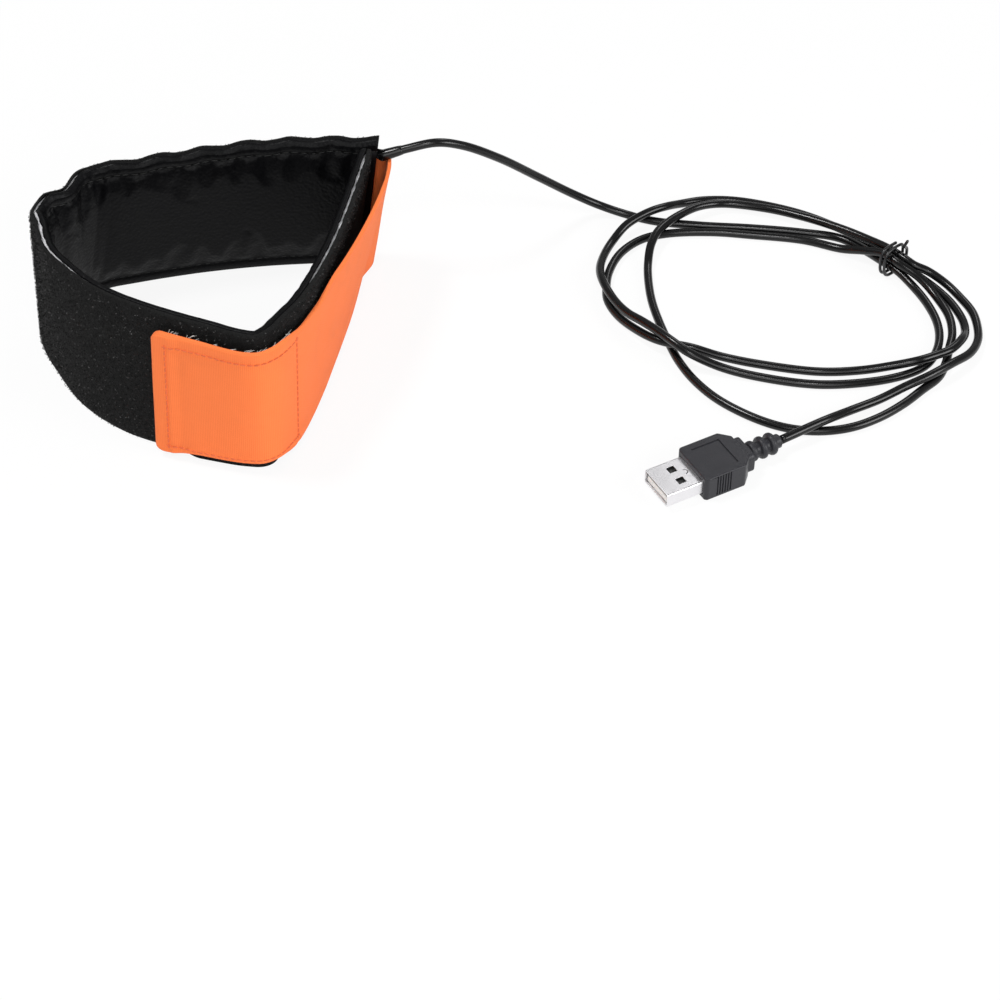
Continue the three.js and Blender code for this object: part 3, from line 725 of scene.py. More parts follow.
def innerFace(along, height):
    # how far the lining stands inwards of its flat face, on a grid
    low, high, top = padding["lowSeam"], padding["seam"], strip["width"]
    a, h = along[:, None], height[None, :]
    seam = high + 0.25 * wander(a, 11, 21)
    upper = np.clip((h - seam) / (top + 0.3 - seam), 0, 1)
    lower = np.clip((low - h) / (low + 0.3), 0, 1)
    rims = np.sin(np.pi * upper ** 0.8) + 0.7 * np.sin(np.pi * lower ** 0.8)
    rims = padding["rimBulge"] * rims
    reach = np.clip(np.minimum(seam - h, h - low), 0, None)
    panel = padding["panelBulge"] * (1 - np.exp(-reach / 2.2))
    crease = padding["creaseWidth"]
    sewn = padding["crease"] * (np.exp(-((h - seam) / crease) ** 2) + np.exp(-((h - low) / crease) ** 2))
    pucker = np.exp(-np.clip(seam - h, 0, None) / 3.6) * wander(a + 0.35 * h, 3.4, 22) * (h < seam)
    pucker += np.exp(-((h - seam - 1.6) / 1.3) ** 2) * wander(a, 5.2, 23)
    pucker *= padding["pucker"]
    bend = padding["folds"] * between(a, *padding["bend"])
    folds = bend * np.abs(wander(a + 0.12 * h, 13, 24)) * np.clip(reach / 8, 0, 1)
    swell = np.clip(panelSwell(along, height), -0.3, padding["panelCap"]) * np.clip(reach / 1.2, 0, 1)
    return np.clip(rims + panel + pucker + folds + swell - sewn, -0.35, 2.6)


def ringStations():
    return np.linspace(0, stripWall.length, int(stripWall.length / padding["step"]) + 1)


def edgeLift(a):
    # the rolled upper edge isn't level
    return (0.2 - 0.14 * smooth(a, 110, 130)) * wander(a, 8.0, 31)


def beside(a, *columns):
    # numbers, rows and columns of values, side by side for every ring
    parts = [np.atleast_2d(column) for column in columns]
    return np.concatenate([np.broadcast_to(part, (len(a), part.shape[1])) for part in parts], 1)


def addLining():
    along = ringStations()
    a = along[:, None]
    parts = ((0.5, 3.2, 7), (3.5, 42.4, 48), (42.8, 46.1, 12))  # below, on and above the panel
    height = np.concatenate([np.linspace(*part) for part in parts])
    lip = padding["lip"] - edgeGap(a) / 2
    wrap = padding["endWrap"] * (1 - smooth(np.minimum(a, stripWall.length - a), 0.6, 1.2))
    out = beside(a, -innerFace(along, height), 0.02, 0.3, 0.8, lip * 0.55 + 0.5, lip, lip - 0.12, 1.2, 0.8,
                 np.full(7, 0.72) + wrap, 0.45 + 0.8 * wrap)
    roll = np.array([46.5, 46.95, 47.2, 47.25, 46.95, 46.5, 46.35, 46.1])
    up = beside(a, height, roll + edgeLift(a), np.linspace(45.5, 0.6, 7), 0.1)
    around = np.concatenate([height, 47 + np.arange(16) * 0.7])
    obj = ringMesh("paddedLining", onStrip(a, out, up), leather, a, around)
    settle(obj, "lining")


def addFoam():
    a = ringStations()[2:-2:2, None]
    profile = np.array([
        (0.5, 1.15), (10, 1.0), (25, 1.0), (40, 1.0), (45.6, 1.0), (46.1, 1.2), (46.25, 1.6), (46.25, 2.2),
        (46.1, 2.6), (45.6, 2.8), (40, 2.8), (25, 2.8), (10, 2.8), (0.5, 2.65),
    ])  # height, out
    height, out = profile.T
    up = height + 0.15 * wander(a, 6, 41) * (height > 45)
    obj = ringMesh("foamPad", onStrip(a, out, up), paleFoam, a, np.arange(len(profile)) * 2.0)
    settle(obj, "foam_pad")


def addCover():
    a = ringStations()[:, None]
    h = np.concatenate([[0.6], np.linspace(1.2, 45.8, 34), [46.2]])
    ground = padding["pile"] + 0.12 * wander(a + 0.3 * h, 9, 51) * wander(h, 14, 52)
    ground = ground - 0.35 * np.clip((h - 44.8) / 1.5, 0, 1) ** 2 - 0.35 * np.clip((1.8 - h) / 1.5, 0, 1) ** 2
    lip = padding["lip"] + 0.06 + edgeGap(a) / 2
    out = beside(a, ground, 3.3, 2.9, lip * 0.5 + 1.2, lip, lip + 0.12, 2.85, 3.05, np.full(5, 3.1), 3.25)
    roll = np.array([46.75, 47.1, 47.2, 46.95, 46.5, 46.4, 46.0])
    up = beside(a, h, roll + edgeLift(a), np.linspace(45.0, 0.8, 5), 0.3)
    obj = ringMesh("loopCover", onStrip(a, out, up), pileGround, a, np.arange(up.shape[1]) * 1.3)
    settle(obj, "loop_cover")


pileSettings = {
    "density": 1.95e6,  # loops to a square metre
    "bare": 118.5,  # length under the strap, where only the rim carries loops
    "rim": 38.0,  # the lowest loops of the rim
}


def pileBed(name, start, end, low, high):
    # the face that the loops stand on
    along = np.linspace(start, end, int((end - start) / 1.3) + 1)
    up = np.linspace(low, high, 26)
    out = padding["pile"] - 0.05 - 0.55 * np.clip((up - 45.2) / 1.7, 0, 1) ** 2
    bed = ringMesh(name, onStrip(along[:, None], out[None, :], up[None, :]), loopYarn, closed=False)
    face = bed.data.polygons[0]
    inner = metres(stripWall.at(along[0], -10.0, 0.5))
    if np.dot(np.array(face.normal)[:2], (np.array(face.center) - inner)[:2]) < 0:
        bed.data.flip_normals()
    return bed


def addPile():
    # loops of yarn on the outer face, left out where the strap lies on it
    turns = np.linspace(-0.35, math.pi + 0.35, 5)
    loop = ribbonSeed("yarnLoop", [(0.26 * math.cos(t), 0.2 + 0.26 * math.sin(t)) for t in turns], 0.15)
    split = stripWall.length - pileSettings["bare"]
    beds = [("loopPile", 0.3, split, 0.8), ("rimPile", split, stripWall.length - 0.3, pileSettings["rim"])]
    for name, start, end, low in beds:
        obj = grown(name, pileBed(name + "Bed", start, end, low, 46.9), scatter, {
            "Density": pileSettings["density"], "Tuft": loop, "Lean": 0.38, "Smallest": 0.6, "Largest": 1.15,
            "Seed": 17, "Material": loopYarn,
        })
        settle(obj, None)
    bpy.data.objects.remove(loop)


def leatherLook(nodes):
    place = nodes.position()
    pebbles = nodes.cells(place, 1150.0, "SMOOTH_F1")
    fine = nodes.noise(place, 2600.0, 3.0, 0.6)
    broad = nodes.noise(place, 70.0, 3.0)
    worn = nodes.noise(place, 320.0, 5.0, 0.7).between(0.58, 0.78)
    base = nodes.mix(broad, colour(0.0015, 0.0015, 0.0018), colour(0.0035, 0.0035, 0.0042))
    base = nodes.mix(worn * 0.3, base, grey(0.01))
    rough = pebbles * 0.16 + broad * 0.12 + worn * 0.1 + 0.27
    normal = nodes.bump(pebbles + fine * 0.35, 0.0002, 0.6)
    return {"Base Color": base, "Roughness": rough, "Normal": normal, "Specular IOR Level": 0.1}


def foamLook(nodes):
    place = nodes.position()
    pores = nodes.cells(place, 2600.0)
    soil = nodes.noise(place, 220.0, 4.0)
    base = nodes.mix(pores.between(0.1, 0.5), colour(0.45, 0.45, 0.47), colour(0.78, 0.78, 0.8))
    base = nodes.mix(soil.between(0.45, 0.75) * 0.4, base, grey(0.35))
    return {"Base Color": base, "Roughness": pores * 0.1 + 0.85, "Normal": nodes.bump(pores, 0.0001, 0.6)}


def groundLook(nodes):
    place = nodes.position()
    knit = nodes.cells(place, 1800.0)
    fluff = nodes.noise(place, 600.0, 4.0, 0.7)
    base = nodes.mix(knit, grey(0.002), grey(0.009))
    base = nodes.mix(fluff.between(0.6, 0.8) * 0.5, base, grey(0.03))
    return {"Base Color": base, "Roughness": fluff * 0.1 + 0.88, "Normal": nodes.bump(knit, 0.0003, 0.8),
            "Specular IOR Level": 0.25}


def yarnLook(nodes):
    shade = nodes.node("ShaderNodeAttribute", {"attribute_name": "shade"}, output="Fac")
    place = nodes.position()
    patchy = nodes.noise(place, 130.0, 3.0).between(0.35, 0.7)
    # the stops up to 0.85 are the yarn's own black tone; the stops above paint highlights on the few loops
    # that catch the light
    base = nodes.node("ShaderNodeValToRGB", {"stops": [
        (0.0, grey(0.001)), (0.62, grey(0.005)), (0.85, grey(0.026)), (1.0, grey(0.13))]}, {0: shade})
    base = nodes.mix(patchy * 0.55, base, grey(0.003))
    return {"Base Color": base, "Roughness": shade * 0.2 + 0.6, "Specular IOR Level": 0.12}


leather = newMaterial("pebbledLeather", leatherLook, grey(0.02))
paleFoam = newMaterial("paleFoam", foamLook, grey(0.7))
pileGround = newMaterial("pileGround", groundLook, grey(0.01))
loopYarn = newMaterial("loopYarn", yarnLook, grey(0.02))

addLining()
addFoam()
addCover()
addPile()
print("padded strip built, length", round(stripWall.length, 1))


# ---- strap and hook patch

strap = {
    "thick": 1.1, "width": 42.0, "low": 2.0, "lowAtFold": 0.4, "widthAtFold": 40.2,
    "tail": 14.0, "reach": 121.5,  # sewn under the fold, and from the fold to the hem
    "liftTop": 4.4, "liftLow": 0.6, "foldOut": (1.6, 3.2), "foldDrop": (4.6, 5.2),
    "hem": 9.0, "hemThick": 0.8, "clearance": 0.3, "corner": 3.0, "step": 0.55,
    "sag": 2.4, "sagPlace": ((38, 50), (58, 72)),  # the upper edge drops where the strap leaves the strip
    "rise": 1.5, "risePlace": ((4, 14), (36, 44)),  # the lower edge is drawn up in front
}
patch = {
    "thick": 1.3, "width": 39.0, "long": 46.0, "inset": 2.0, "backing": 0.35,
    "density": 9.0e5,  # hooks to a square metre
}


def strapWallPath():
    low, high = [], []
    hemAt = stripWall.length - strap["reach"]
    leaveAt = hemAt + patch["long"]
    onPatch = patch["thick"] + 2 * strap["clearance"]
    thick = strip["thick"]
    for s in stations(hemAt, stripWall.length - 4.0):  # the fold itself takes the last 4 mm
        rest = float(smooth(s, leaveAt - 8, leaveAt + 8))
        leave = float(smooth(s, leaveAt, stripWall.length))
        lift = onPatch + (2 * strap["clearance"] - onPatch) * rest
        drop = strap["low"] + (strap["lowAtFold"] - strap["low"]) * leave
        width = strap["width"] + (strap["widthAtFold"] - strap["width"]) * leave
        edges = ((low, drop, strap["liftLow"]), (high, drop + width, strap["liftTop"]))
        for edge, height, away in edges:
            point = onStrip(s, thick + lift + leave * away, height)
            edge.append((point[0], point[1], height))
    for side, edge in enumerate((low, high)):
        height = strap["lowAtFold"] + side * strap["widthAtFold"]
        away, drop = strap["foldOut"][side], strap["foldDrop"][side]
        sewn = [onStrip(s, thick + strap["clearance"], height) for s in (0, strap["tail"] / 2, strap["tail"])]
        x, y = sewn[0][:2]
        edge.append((x + away, y - drop, height))
        edge.append((x + away * 0.8, y - drop * 0.3, height))
        edge.extend((p[0], p[1], height) for p in sewn)
    return Wall(low, high)


strapPath = strapWallPath()


def strapHeight(along, share):
    # share 0 to 1 of the band's height, drawn in at the hem's rounded corners
    corner, width = strap["corner"], strap["width"]
    across = np.clip(corner - along, 0, None)
    short = (corner - np.sqrt(np.clip(corner ** 2 - across ** 2, 0, None))) / width
    sag = strap["sag"] / width * between(along, *strap["sagPlace"])
    rise = strap["rise"] / width * between(along, *strap["risePlace"])
    return short + rise + share * (1 - 2 * short - rise - sag)


def strapOut(along, height):
    # the outer face's distance from the inner one
    body = strap["thick"] + strap["hemThick"] * (1 - smooth(along, strap["hem"] - 4.0, strap["hem"]))
    body = body + 0.1 * wander(along, 17, 61) * wander(height, 23, 62) - 0.12 * sewnDip(along, height)
    edge = np.clip(np.minimum(height, strap["width"] - height) / 0.7, 0, 1)
    fold = np.clip(along / 0.95, 0, 1)
    return body * (0.45 + 0.55 * np.sqrt(edge * (2 - edge))) * (0.4 + 0.6 * np.sqrt(fold * (2 - fold)))


seams = {
    "left": 4.5, "right": 45.0, "top": 38.2, "low": 2.9, "pitch": 1.9, "thick": 0.5,
    "dip": 0.6,  # half the width of the groove that a seam pulls in
    "proud": 0.12,
}


def sewnDip(along, height):
    # 1 on the lines of stitching
    def groove(x, seam):
        return np.exp(-((x - seams[seam]) / seams["dip"]) ** 2)

    inside = (along > seams["left"]) & (along < seams["right"])
    upright = groove(along, "left") + groove(along, "right")
    level = groove(height, "top") + groove(height, "low")
    return np.clip(upright + level * inside, 0, 1)


def addStrap():
    whole = strapPath.length
    a = np.concatenate([[0, 0.12, 0.3], np.arange(0.55, whole, strap["step"]), [whole]])[:, None]
    share = np.concatenate([[0, 0.004, 0.010, 0.018], np.linspace(0.03, 0.97, 60), [0.982, 0.990, 0.996, 1]])
    height = share * strap["width"]
    out = beside(a, strapOut(a, height), np.full(9, 0.02))
    up = strapHeight(a, np.concatenate([share, np.linspace(1, 0, 9)]))
    around = np.concatenate([height, strap["width"] + np.linspace(0.5, 42, 9)])
    obj = ringMesh("strapBand", strapPath.at(a, out, up), webbing, a, around, sharp=60)
    settle(obj, "strap")


def addStrapStitches():
    up = np.linspace(seams["low"], seams["top"], 60)
    way = np.linspace(seams["left"], seams["right"], 80)
    lines = []
    upright, level = [(seams[k], up) for k in ("left", "right")], [(way, seams[k]) for k in ("top", "low")]
    for along, height in upright + level:
        out = strapOut(along, height) + seams["proud"]
        lines.append(strapPath.at(along, out, height / strap["width"]))
    sew("strapStitches", lines, seams["pitch"], (seams["pitch"] * 0.82, seams["thick"]),
        {"Uneven": 0.06, "Seed": 5, "Material": orangeThread})


def addLiningStitches():
    along = np.linspace(1, stripWall.length - 1, 500)
    lines = []
    for seam in (padding["seam"], padding["lowSeam"]):
        height = seam + 0.25 * wander(along, 11, 21) * (seam > 20)
        face = np.array([innerFace(along[i:i + 1], height[i:i + 1])[0, 0] for i in range(len(along))])
        lines.append(onStrip(along, -face - 0.05, height))
    pitch = padding["seamPitch"]
    sew("liningStitches", lines, pitch, (pitch * 0.8, padding["seamThick"]),
        {"Uneven": 0.08, "Seed": 9, "Material": blackThread})


def addPatch():
    along = np.linspace(patch["inset"], patch["long"] - patch["inset"], 60)[:, None]
    trim = (strap["width"] - patch["width"]) / 2 / strap["width"]
    share = np.linspace(trim, 1 - trim, 24)
    front = -strap["clearance"]
    back = front - patch["backing"]
    out = np.repeat([front, back], 24)
    rings = strapPath.at(along, out, np.concatenate([share, share[::-1]]))
    backing = ringMesh("hookPatch", rings, hookNylon, along, sharp=40)
    settle(backing, "hook_patch")
    bed = ringMesh("hookBed", strapPath.at(along, back, share), hookNylon, closed=False)
    inside = strapPath.at(along[0], -8.0, 0.5)[0]
    face = bed.data.polygons[12]
    if np.dot(np.array(face.normal)[:2], (metres(inside) - np.array(face.center))[:2]) < 0:
        bed.data.flip_normals()
    hook = ribbonSeed("hook", [(0, 0), (0.02, 0.45), (0.1, 0.72), (0.27, 0.78), (0.36, 0.6)], 0.16)
    hooks = grown("hooks", bed, scatter, {
        "Density": patch["density"], "Tuft": hook, "Lean": 0.3, "Smallest": 0.85, "Largest": 1.05,
        "Seed": 23, "Material": hookNylon,
    })
    bpy.data.objects.remove(hook)
    settle(hooks, None)


fringe = {
    "thick": 0.14,
    "tufts": [
        (5.0, 3, 1.7), (6.4, 3, 1.1), (10.6, 4, 1.8), (13.4, 2, 0.5), (18.0, 3, 0.7), (23.0, 3, 0.4),
        (27.5, 4, 0.9), (31.5, 4, 0.9), (35.5, 3, 0.4),
    ],  # mm from the hem, fibres, height
}


def addFringe():
    # pale fibres that lie between the strap and the cover
    dice = np.random.default_rng(31)
    fibres = []
    for along, count, high in fringe["tufts"]:
        for _ in range(count):
            start = along + dice.normal(0, 0.45)
            end = start + dice.uniform(0.3, 2.6)
            fibres.append((start, end, high * dice.uniform(0.3, 1.0), dice.uniform(-0.9, 0.1)))
    for k in range(5):  # the edge of the hook tape shows before the bend
        fibres.append((37.2 + 0.4 * k, 42.5 + 0.9 * k, 0.25 + 0.09 * k, -0.2 - 0.12 * k))
    faces, points = [], []
    w = np.linspace(0, 1, 5)
    for start, end, rise, lean in fibres:
        way = start + (end - start) * w
        path = strapPath.at(way, -0.35 + lean * w ** 2, strapHeight(way, 0.985))
        path[:, 2] += rise * np.sin(w * 1.9)
        tube = tubeRings(path, fringe["thick"] / 2 * (1 - 0.6 * w), 4)
        first = len(points)
        points.extend(metres(tube.reshape(-1, 3)).tolist())
        for i in range(first, first + 16, 4):
            faces.extend((i + j, i + (j + 1) % 4, i + 4 + (j + 1) % 4, i + 4 + j) for j in range(4))
        faces.extend([tuple(range(first + 3, first - 1, -1)), tuple(range(first + 16, first + 20))])
    mesh = bpy.data.meshes.new("fringe")
    mesh.from_pydata(points, [], faces)
    outwards(mesh)
    obj = newObject("fringe", mesh, [hookNylon])
    settle(obj, None)


def webbingLook(nodes):
    parts = nodes.node("ShaderNodeSeparateXYZ", {}, {0: nodes.way()})
    place = nodes.position()
    picks = (parts.out("X") * (math.pi / 0.52)).maths("SINE")
    ends = (parts.out("Y") * (math.pi / 0.44)).maths("SINE")
    over = (picks * ends).between(-0.35, 0.35)
    warp = ends * ends
    weft = picks * picks
    cloth = warp * over + weft * (1 - over)
    fuzz = nodes.noise(place, 3200.0, 2.0)
    tone = nodes.drawn((0.08, 0.9, 1.0))
    soil = nodes.noise(place, 90.0, 4.0, 0.6).between(0.5, 0.75)
    base = nodes.mix(cloth, colour(0.86, 0.17, 0.042), colour(1.0, 0.235, 0.066))
    base = nodes.mix(tone * 0.3, base, colour(1.0, 0.25, 0.08))
    base = nodes.mix(soil * 0.12, base, colour(0.55, 0.13, 0.05))
    normal = nodes.bump(cloth + fuzz * 0.35, 0.0001, 0.6)
    return {"Base Color": base, "Roughness": cloth * 0.12 + fuzz * 0.1 + 0.66, "Normal": normal,
            "Specular IOR Level": 0.15, "Sheen Weight": 0.05, "Sheen Roughness": 0.4}


def threadLook(dark, light):
    def look(nodes):
        place = nodes.position()
        ply = nodes.noise(place, 2400.0, 2.0, 0.7)
        return {"Base Color": nodes.mix(ply, dark, light), "Roughness": ply * 0.2 + 0.5,
                "Normal": nodes.bump(ply, 0.00008, 0.7), "Specular IOR Level": 0.35}
    return look


def nylonLook(nodes):
    place = nodes.position()
    milky = nodes.noise(place, 800.0, 3.0)
    base = nodes.mix(milky, colour(0.62, 0.61, 0.58), colour(0.86, 0.85, 0.82))
    return {"Base Color": base, "Roughness": milky * 0.2 + 0.35, "Normal": nodes.bump(milky, 0.00005, 0.4)}


webbing = newMaterial("orangeWebbing", webbingLook, colour(1.0, 0.23, 0.07))
# painted shade: the thread has the webbing's orange, and both colours here are darker than the webbing's to
# stand in for the shade along the stitch rows; the ply noise between them is the thread's own tone
orangeThread = newMaterial("orangeThread", threadLook(colour(0.6, 0.105, 0.034), colour(0.85, 0.185, 0.06)),
                           colour(1.0, 0.3, 0.1))
blackThread = newMaterial("blackThread", threadLook(grey(0.008), grey(0.035)), grey(0.02))
hookNylon = newMaterial("hookNylon", nylonLook, grey(0.75))

addStrap()
addStrapStitches()
addLiningStitches()
addPatch()
addFringe()
print("strap sewn")


# ---- plug

plug = {
    "place": (126.2, -59.2, 4.0), "yaw": 28.9,
    "shellWide": 12.0, "shellHigh": 4.5, "wall": 0.35, "shellLong": 18.6, "shown": 11.4,
    "window": 2.4, "windowApart": 4.9, "windowFromMouth": 5.2,
    "lance": (9.15, 0.95, 0.72),  # place, outer and inner radius of the spring cut in the top
    "tongueThick": 1.9, "tongueInset": 0.6,
    "slot": (1.3, 9.6), "slotWide": 1.24, "slotApart": 2.3, "slotDeep": 0.12,
    "wide": 15.2, "high": 8.0, "long": 16.0, "chamfer": 0.7, "shoulder": 3.0,
    "collar": 2.0, "collarWide": 9.6, "collarHigh": 6.6, "panel": (9.0, 10.4, 0.3),
    "grips": 6, "gripFrom": 3.6, "gripPitch": 0.85, "gripShare": 0.55, "gripDeep": 0.32,
    "reliefLong": 13.1, "relief": 6.6, "neck": 4.2, "ribs": 3, "reliefSides": 40,
}
plugTurn = Matrix.Rotation(math.radians(plug["yaw"]), 4, "Z")
plugPlace = Matrix.Translation(metres(plug["place"]).tolist()) @ plugTurn


def plugMesh(name, points, faces):
    mesh = bpy.data.meshes.new(name)
    mesh.from_pydata((np.asarray(points, float) * 0.001).tolist(), [], faces)
    mesh.update()
    outwards(mesh)
    return newObject(name, mesh)


def prism(name, outline, low, high, axis="z"):
    # an outline drawn in plan and raised, or drawn across and run along x
    count = len(outline)
    if axis == "z":
        points = [(x, y, low) for x, y in outline] + [(x, y, high) for x, y in outline]
    else:
        points = [(low, y, z) for y, z in outline] + [(high, y, z) for y, z in outline]
    faces = [tuple(range(count))[::-1], tuple(range(count, 2 * count))]
    faces += [(i, (i + 1) % count, count + (i + 1) % count, count + i) for i in range(count)]
    return plugMesh(name, points, faces)


def block(name, x, y, z):
    outline = [(x[0], y[0]), (x[1], y[0]), (x[1], y[1]), (x[0], y[1])]
    return prism(name, outline, z[0], z[1])


def roundedBox(wide, high, radius, steps=6):
    points = []
    for cy, cz, start in ((1, 1, 0), (-1, 1, 90), (-1, -1, 180), (1, -1, 270)):
        for k in range(steps + 1):
            angle = math.radians(start + 90 * k / steps)
            points.append((cy * (wide / 2 - radius) + radius * math.cos(angle),
                           cz * (high / 2 - radius) + radius * math.sin(angle)))
    return points


def shaped(obj, *changes):
    # applies bevels and cuts in turn: ("BEVEL", width, segments) or (operation, other object)
    for change in changes:
        if change[0] == "BEVEL":
            modifier = obj.modifiers.new("edge", "BEVEL")
            modifier.width, modifier.segments = change[1] * 0.001, change[2]
            modifier.limit_method = "ANGLE"
            modifier.angle_limit = math.radians(38)
        else:
            modifier = obj.modifiers.new("cut", "BOOLEAN")
            modifier.operation, modifier.object, modifier.solver = change[0], change[1], "EXACT"
    name, mesh = obj.name, evaluated(obj)
    for change in changes:
        if change[0] != "BEVEL":
            bpy.data.objects.remove(change[1])
    bpy.data.objects.remove(obj)
    return newObject(name, mesh)


def finishPlug(obj, name, material, node, sharp=32):
    # moves the drawing to where the plug lies and gives it its finish
    mesh = obj.data
    mesh.transform(plugPlace)
    mesh.materials.clear()
    mesh.materials.append(material)
    mesh.shade_smooth()
    mesh.set_sharp_from_angle(angle=math.radians(sharp))
    even = obj.modifiers.new("even", "WEIGHTED_NORMAL")  # flat faces keep their own normal beside a bevel
    even.keep_sharp = True
    obj.data = evaluated(obj)
    obj.modifiers.clear()
    obj.name = name
    settle(obj, node)
    return obj


def addOvermold():
    start, end = plug["shown"], plug["shown"] + plug["long"]
    half, high = plug["wide"] / 2, plug["high"] / 2
    cut, edge = plug["shoulder"], plug["chamfer"]
    outline = [(start, -half + edge), (start + edge, -half), (end - cut, -half), (end, -half + cut),
               (end, half - cut), (end - cut, half), (start + edge, half), (start, half - edge)]
    body = shaped(prism("plugBody", outline, -high, high), ("BEVEL", 0.55, 4))
    collarTo = end + plug["collar"]
    collarOutline = roundedBox(plug["collarWide"], plug["collarHigh"], 1.6)
    collar = shaped(prism("plugCollar", collarOutline, end - 1, collarTo, "x"), ("BEVEL", 0.4, 3))
    relief = reliefRings(collarTo)
    panelLong, panelWide, panelDeep = plug["panel"]
    middle = (start + end) / 2 - 0.6
    recess = block("recess", (middle - panelLong / 2, middle + panelLong / 2),
                   (-panelWide / 2, panelWide / 2), (high - panelDeep, high + 1))
    across, up = plug["shellWide"] / 2 + 0.1, plug["shellHigh"] / 2 + 0.1
    cavity = block("cavity", (start - 1, plug["shellLong"] + 1), (-across, across), (-up, up))
    changes = [("UNION", collar), ("UNION", relief), ("DIFFERENCE", recess), ("DIFFERENCE", cavity)]
    for side in (-1, 1):
        for k in range(plug["grips"]):
            at = start + plug["gripFrom"] + k * plug["gripPitch"]
            reach = (at, at + plug["gripPitch"] * plug["gripShare"])
            depth = sorted((side * (half - plug["gripDeep"]), side * (half + 1)))
            grip = block("grip", reach, depth, (-high + 0.9, high - 0.25))
            changes.append(("DIFFERENCE", grip))
    body = shaped(body, *changes)
    body = shaped(body, ("BEVEL", 0.09, 2))
    return finishPlug(body, "plugOvermold", plugVinyl, "plug_overmold", 40)


def reliefRings(start):
    # the ribbed sleeve where the cable enters
    long, ribs = plug["reliefLong"] - plug["collar"], plug["ribs"]
    big, neck = plug["relief"] / 2, plug["neck"] / 2
    pitch = (long - 1.6) / ribs
    profile = [(start - 1.5, neck * 0.9), (start, neck * 1.02)]
    for rib in range(ribs):
        at = start + 0.5 + rib * pitch
        size = big * (0.92, 1.0, 1.0)[rib]
        profile.append((at, neck))
        for k in range(7):
            angle = math.pi * k / 6
            swell = math.sin(angle) ** 0.55
            x = at + 0.25 + pitch * 0.62 * (1 - math.cos(angle)) / 2
            profile.append((x, neck + (size - neck) * swell))
        profile.append((at + 0.3 + pitch * 0.66, neck * 0.98))
    profile += [(start + long - 0.4, neck * 0.98), (start + long, neck * 0.8)]
    sides = plug["reliefSides"]
    turns = [2 * math.pi * k / sides for k in range(sides)]
    points = [(x, r * math.cos(turn), r * math.sin(turn)) for x, r in profile for turn in turns]
    last = len(points) - sides
    faces = []
    for i in range(0, last, sides):
        for j in range(sides):
            k = (j + 1) % sides
            faces.append((i + j, i + k, i + sides + k, i + sides + j))
    faces += [tuple(range(sides))[::-1], tuple(range(last, last + sides))]
    return plugMesh("plugRelief", points, faces)


def addShell():
    wide, high, wall = plug["shellWide"], plug["shellHigh"], plug["wall"]
    sheet = prism("plugSheet", roundedBox(wide, high, 0.55), 0, plug["shellLong"], "x")
    hollow = roundedBox(wide - 2 * wall, high - 2 * wall, 0.22, 3)
    inside = prism("inside", hollow, -1, plug["shellLong"] + 1, "x")
    changes = [("DIFFERENCE", inside)]
    size, at = plug["window"], plug["windowFromMouth"]
    for side in (-1, 1):
        y = side * plug["windowApart"] / 2
        window = block("window", (at, at + size), (y - size / 2, y + size / 2), (-high, high))
        changes.append(("DIFFERENCE", window))
    turns = [math.radians(a) for a in np.linspace(-100, 100, 13)]
    middle, outer, inner = plug["lance"]
    arcs = ((outer, turns), (inner, turns[::-1]))
    ring = [(middle + r * math.cos(a), r * math.sin(a)) for r, arc in arcs for a in arc]
    changes.append(("DIFFERENCE", prism("lance", ring, 0.5, high)))
    joint = block("joint", (-1, plug["shellLong"] + 1), (-0.05, 0.05), (-high / 2 - 1, -high / 2 + wall * 0.5))
    changes.append(("DIFFERENCE", joint))
    shell = shaped(sheet, *changes)
    shell = shaped(shell, ("BEVEL", 0.07, 2))
    return finishPlug(shell, "plugShell", brightSteel, "plug_shell")


def addTongue():
    low = -plug["shellHigh"] / 2 + plug["wall"] + 0.3
    half = plug["shellWide"] / 2 - plug["wall"] - 0.3
    top = low + plug["tongueThick"]
    tongue = block("tongue", (plug["tongueInset"], plug["shellLong"]), (-half, half), (low, top))
    slots = []
    wide = plug["slotWide"] / 2
    for k in range(4):
        y = (k - 1.5) * plug["slotApart"]
        slot = block("slot", plug["slot"], (y - wide, y + wide), (top - plug["slotDeep"], top + 1))
        slots.append(("DIFFERENCE", slot))
    tongue = shaped(tongue, *slots)
    tongue = shaped(tongue, ("BEVEL", 0.12, 2))
    made = finishPlug(tongue, "plugTongue", whitePlastic, "plug_tongue")
    # painted shade: a dark plate over the tongue stands in for the shadow in the cavity behind the windows
    reach = (plug["windowFromMouth"] - 0.7, plug["shellLong"] - 0.2)
    insert = block("insert", reach, (-half, half), (top + 0.65, top + 1.0))  # dark behind the windows
    insert = shaped(insert, ("BEVEL", 0.08, 2))
    back = finishPlug(insert, "plugInsert", darkPlastic, None)
    return [made, back]


def vinylLook(nodes):
    place = nodes.position()
    spark = nodes.noise(place, 3600.0, 3.0, 0.6)
    broad = nodes.noise(place, 160.0, 3.0)
    rub = nodes.noise(place, 700.0, 5.0, 0.7).between(0.58, 0.74)
    base = nodes.mix(broad, colour(0.022, 0.022, 0.026), colour(0.029, 0.029, 0.034))
    base = nodes.mix(rub * 0.15, base, grey(0.08))
    return {"Base Color": base, "Roughness": spark * 0.12 + rub * 0.1 + 0.34,
            "Normal": nodes.bump(spark, 0.00006, 0.5), "Specular IOR Level": 0.3}


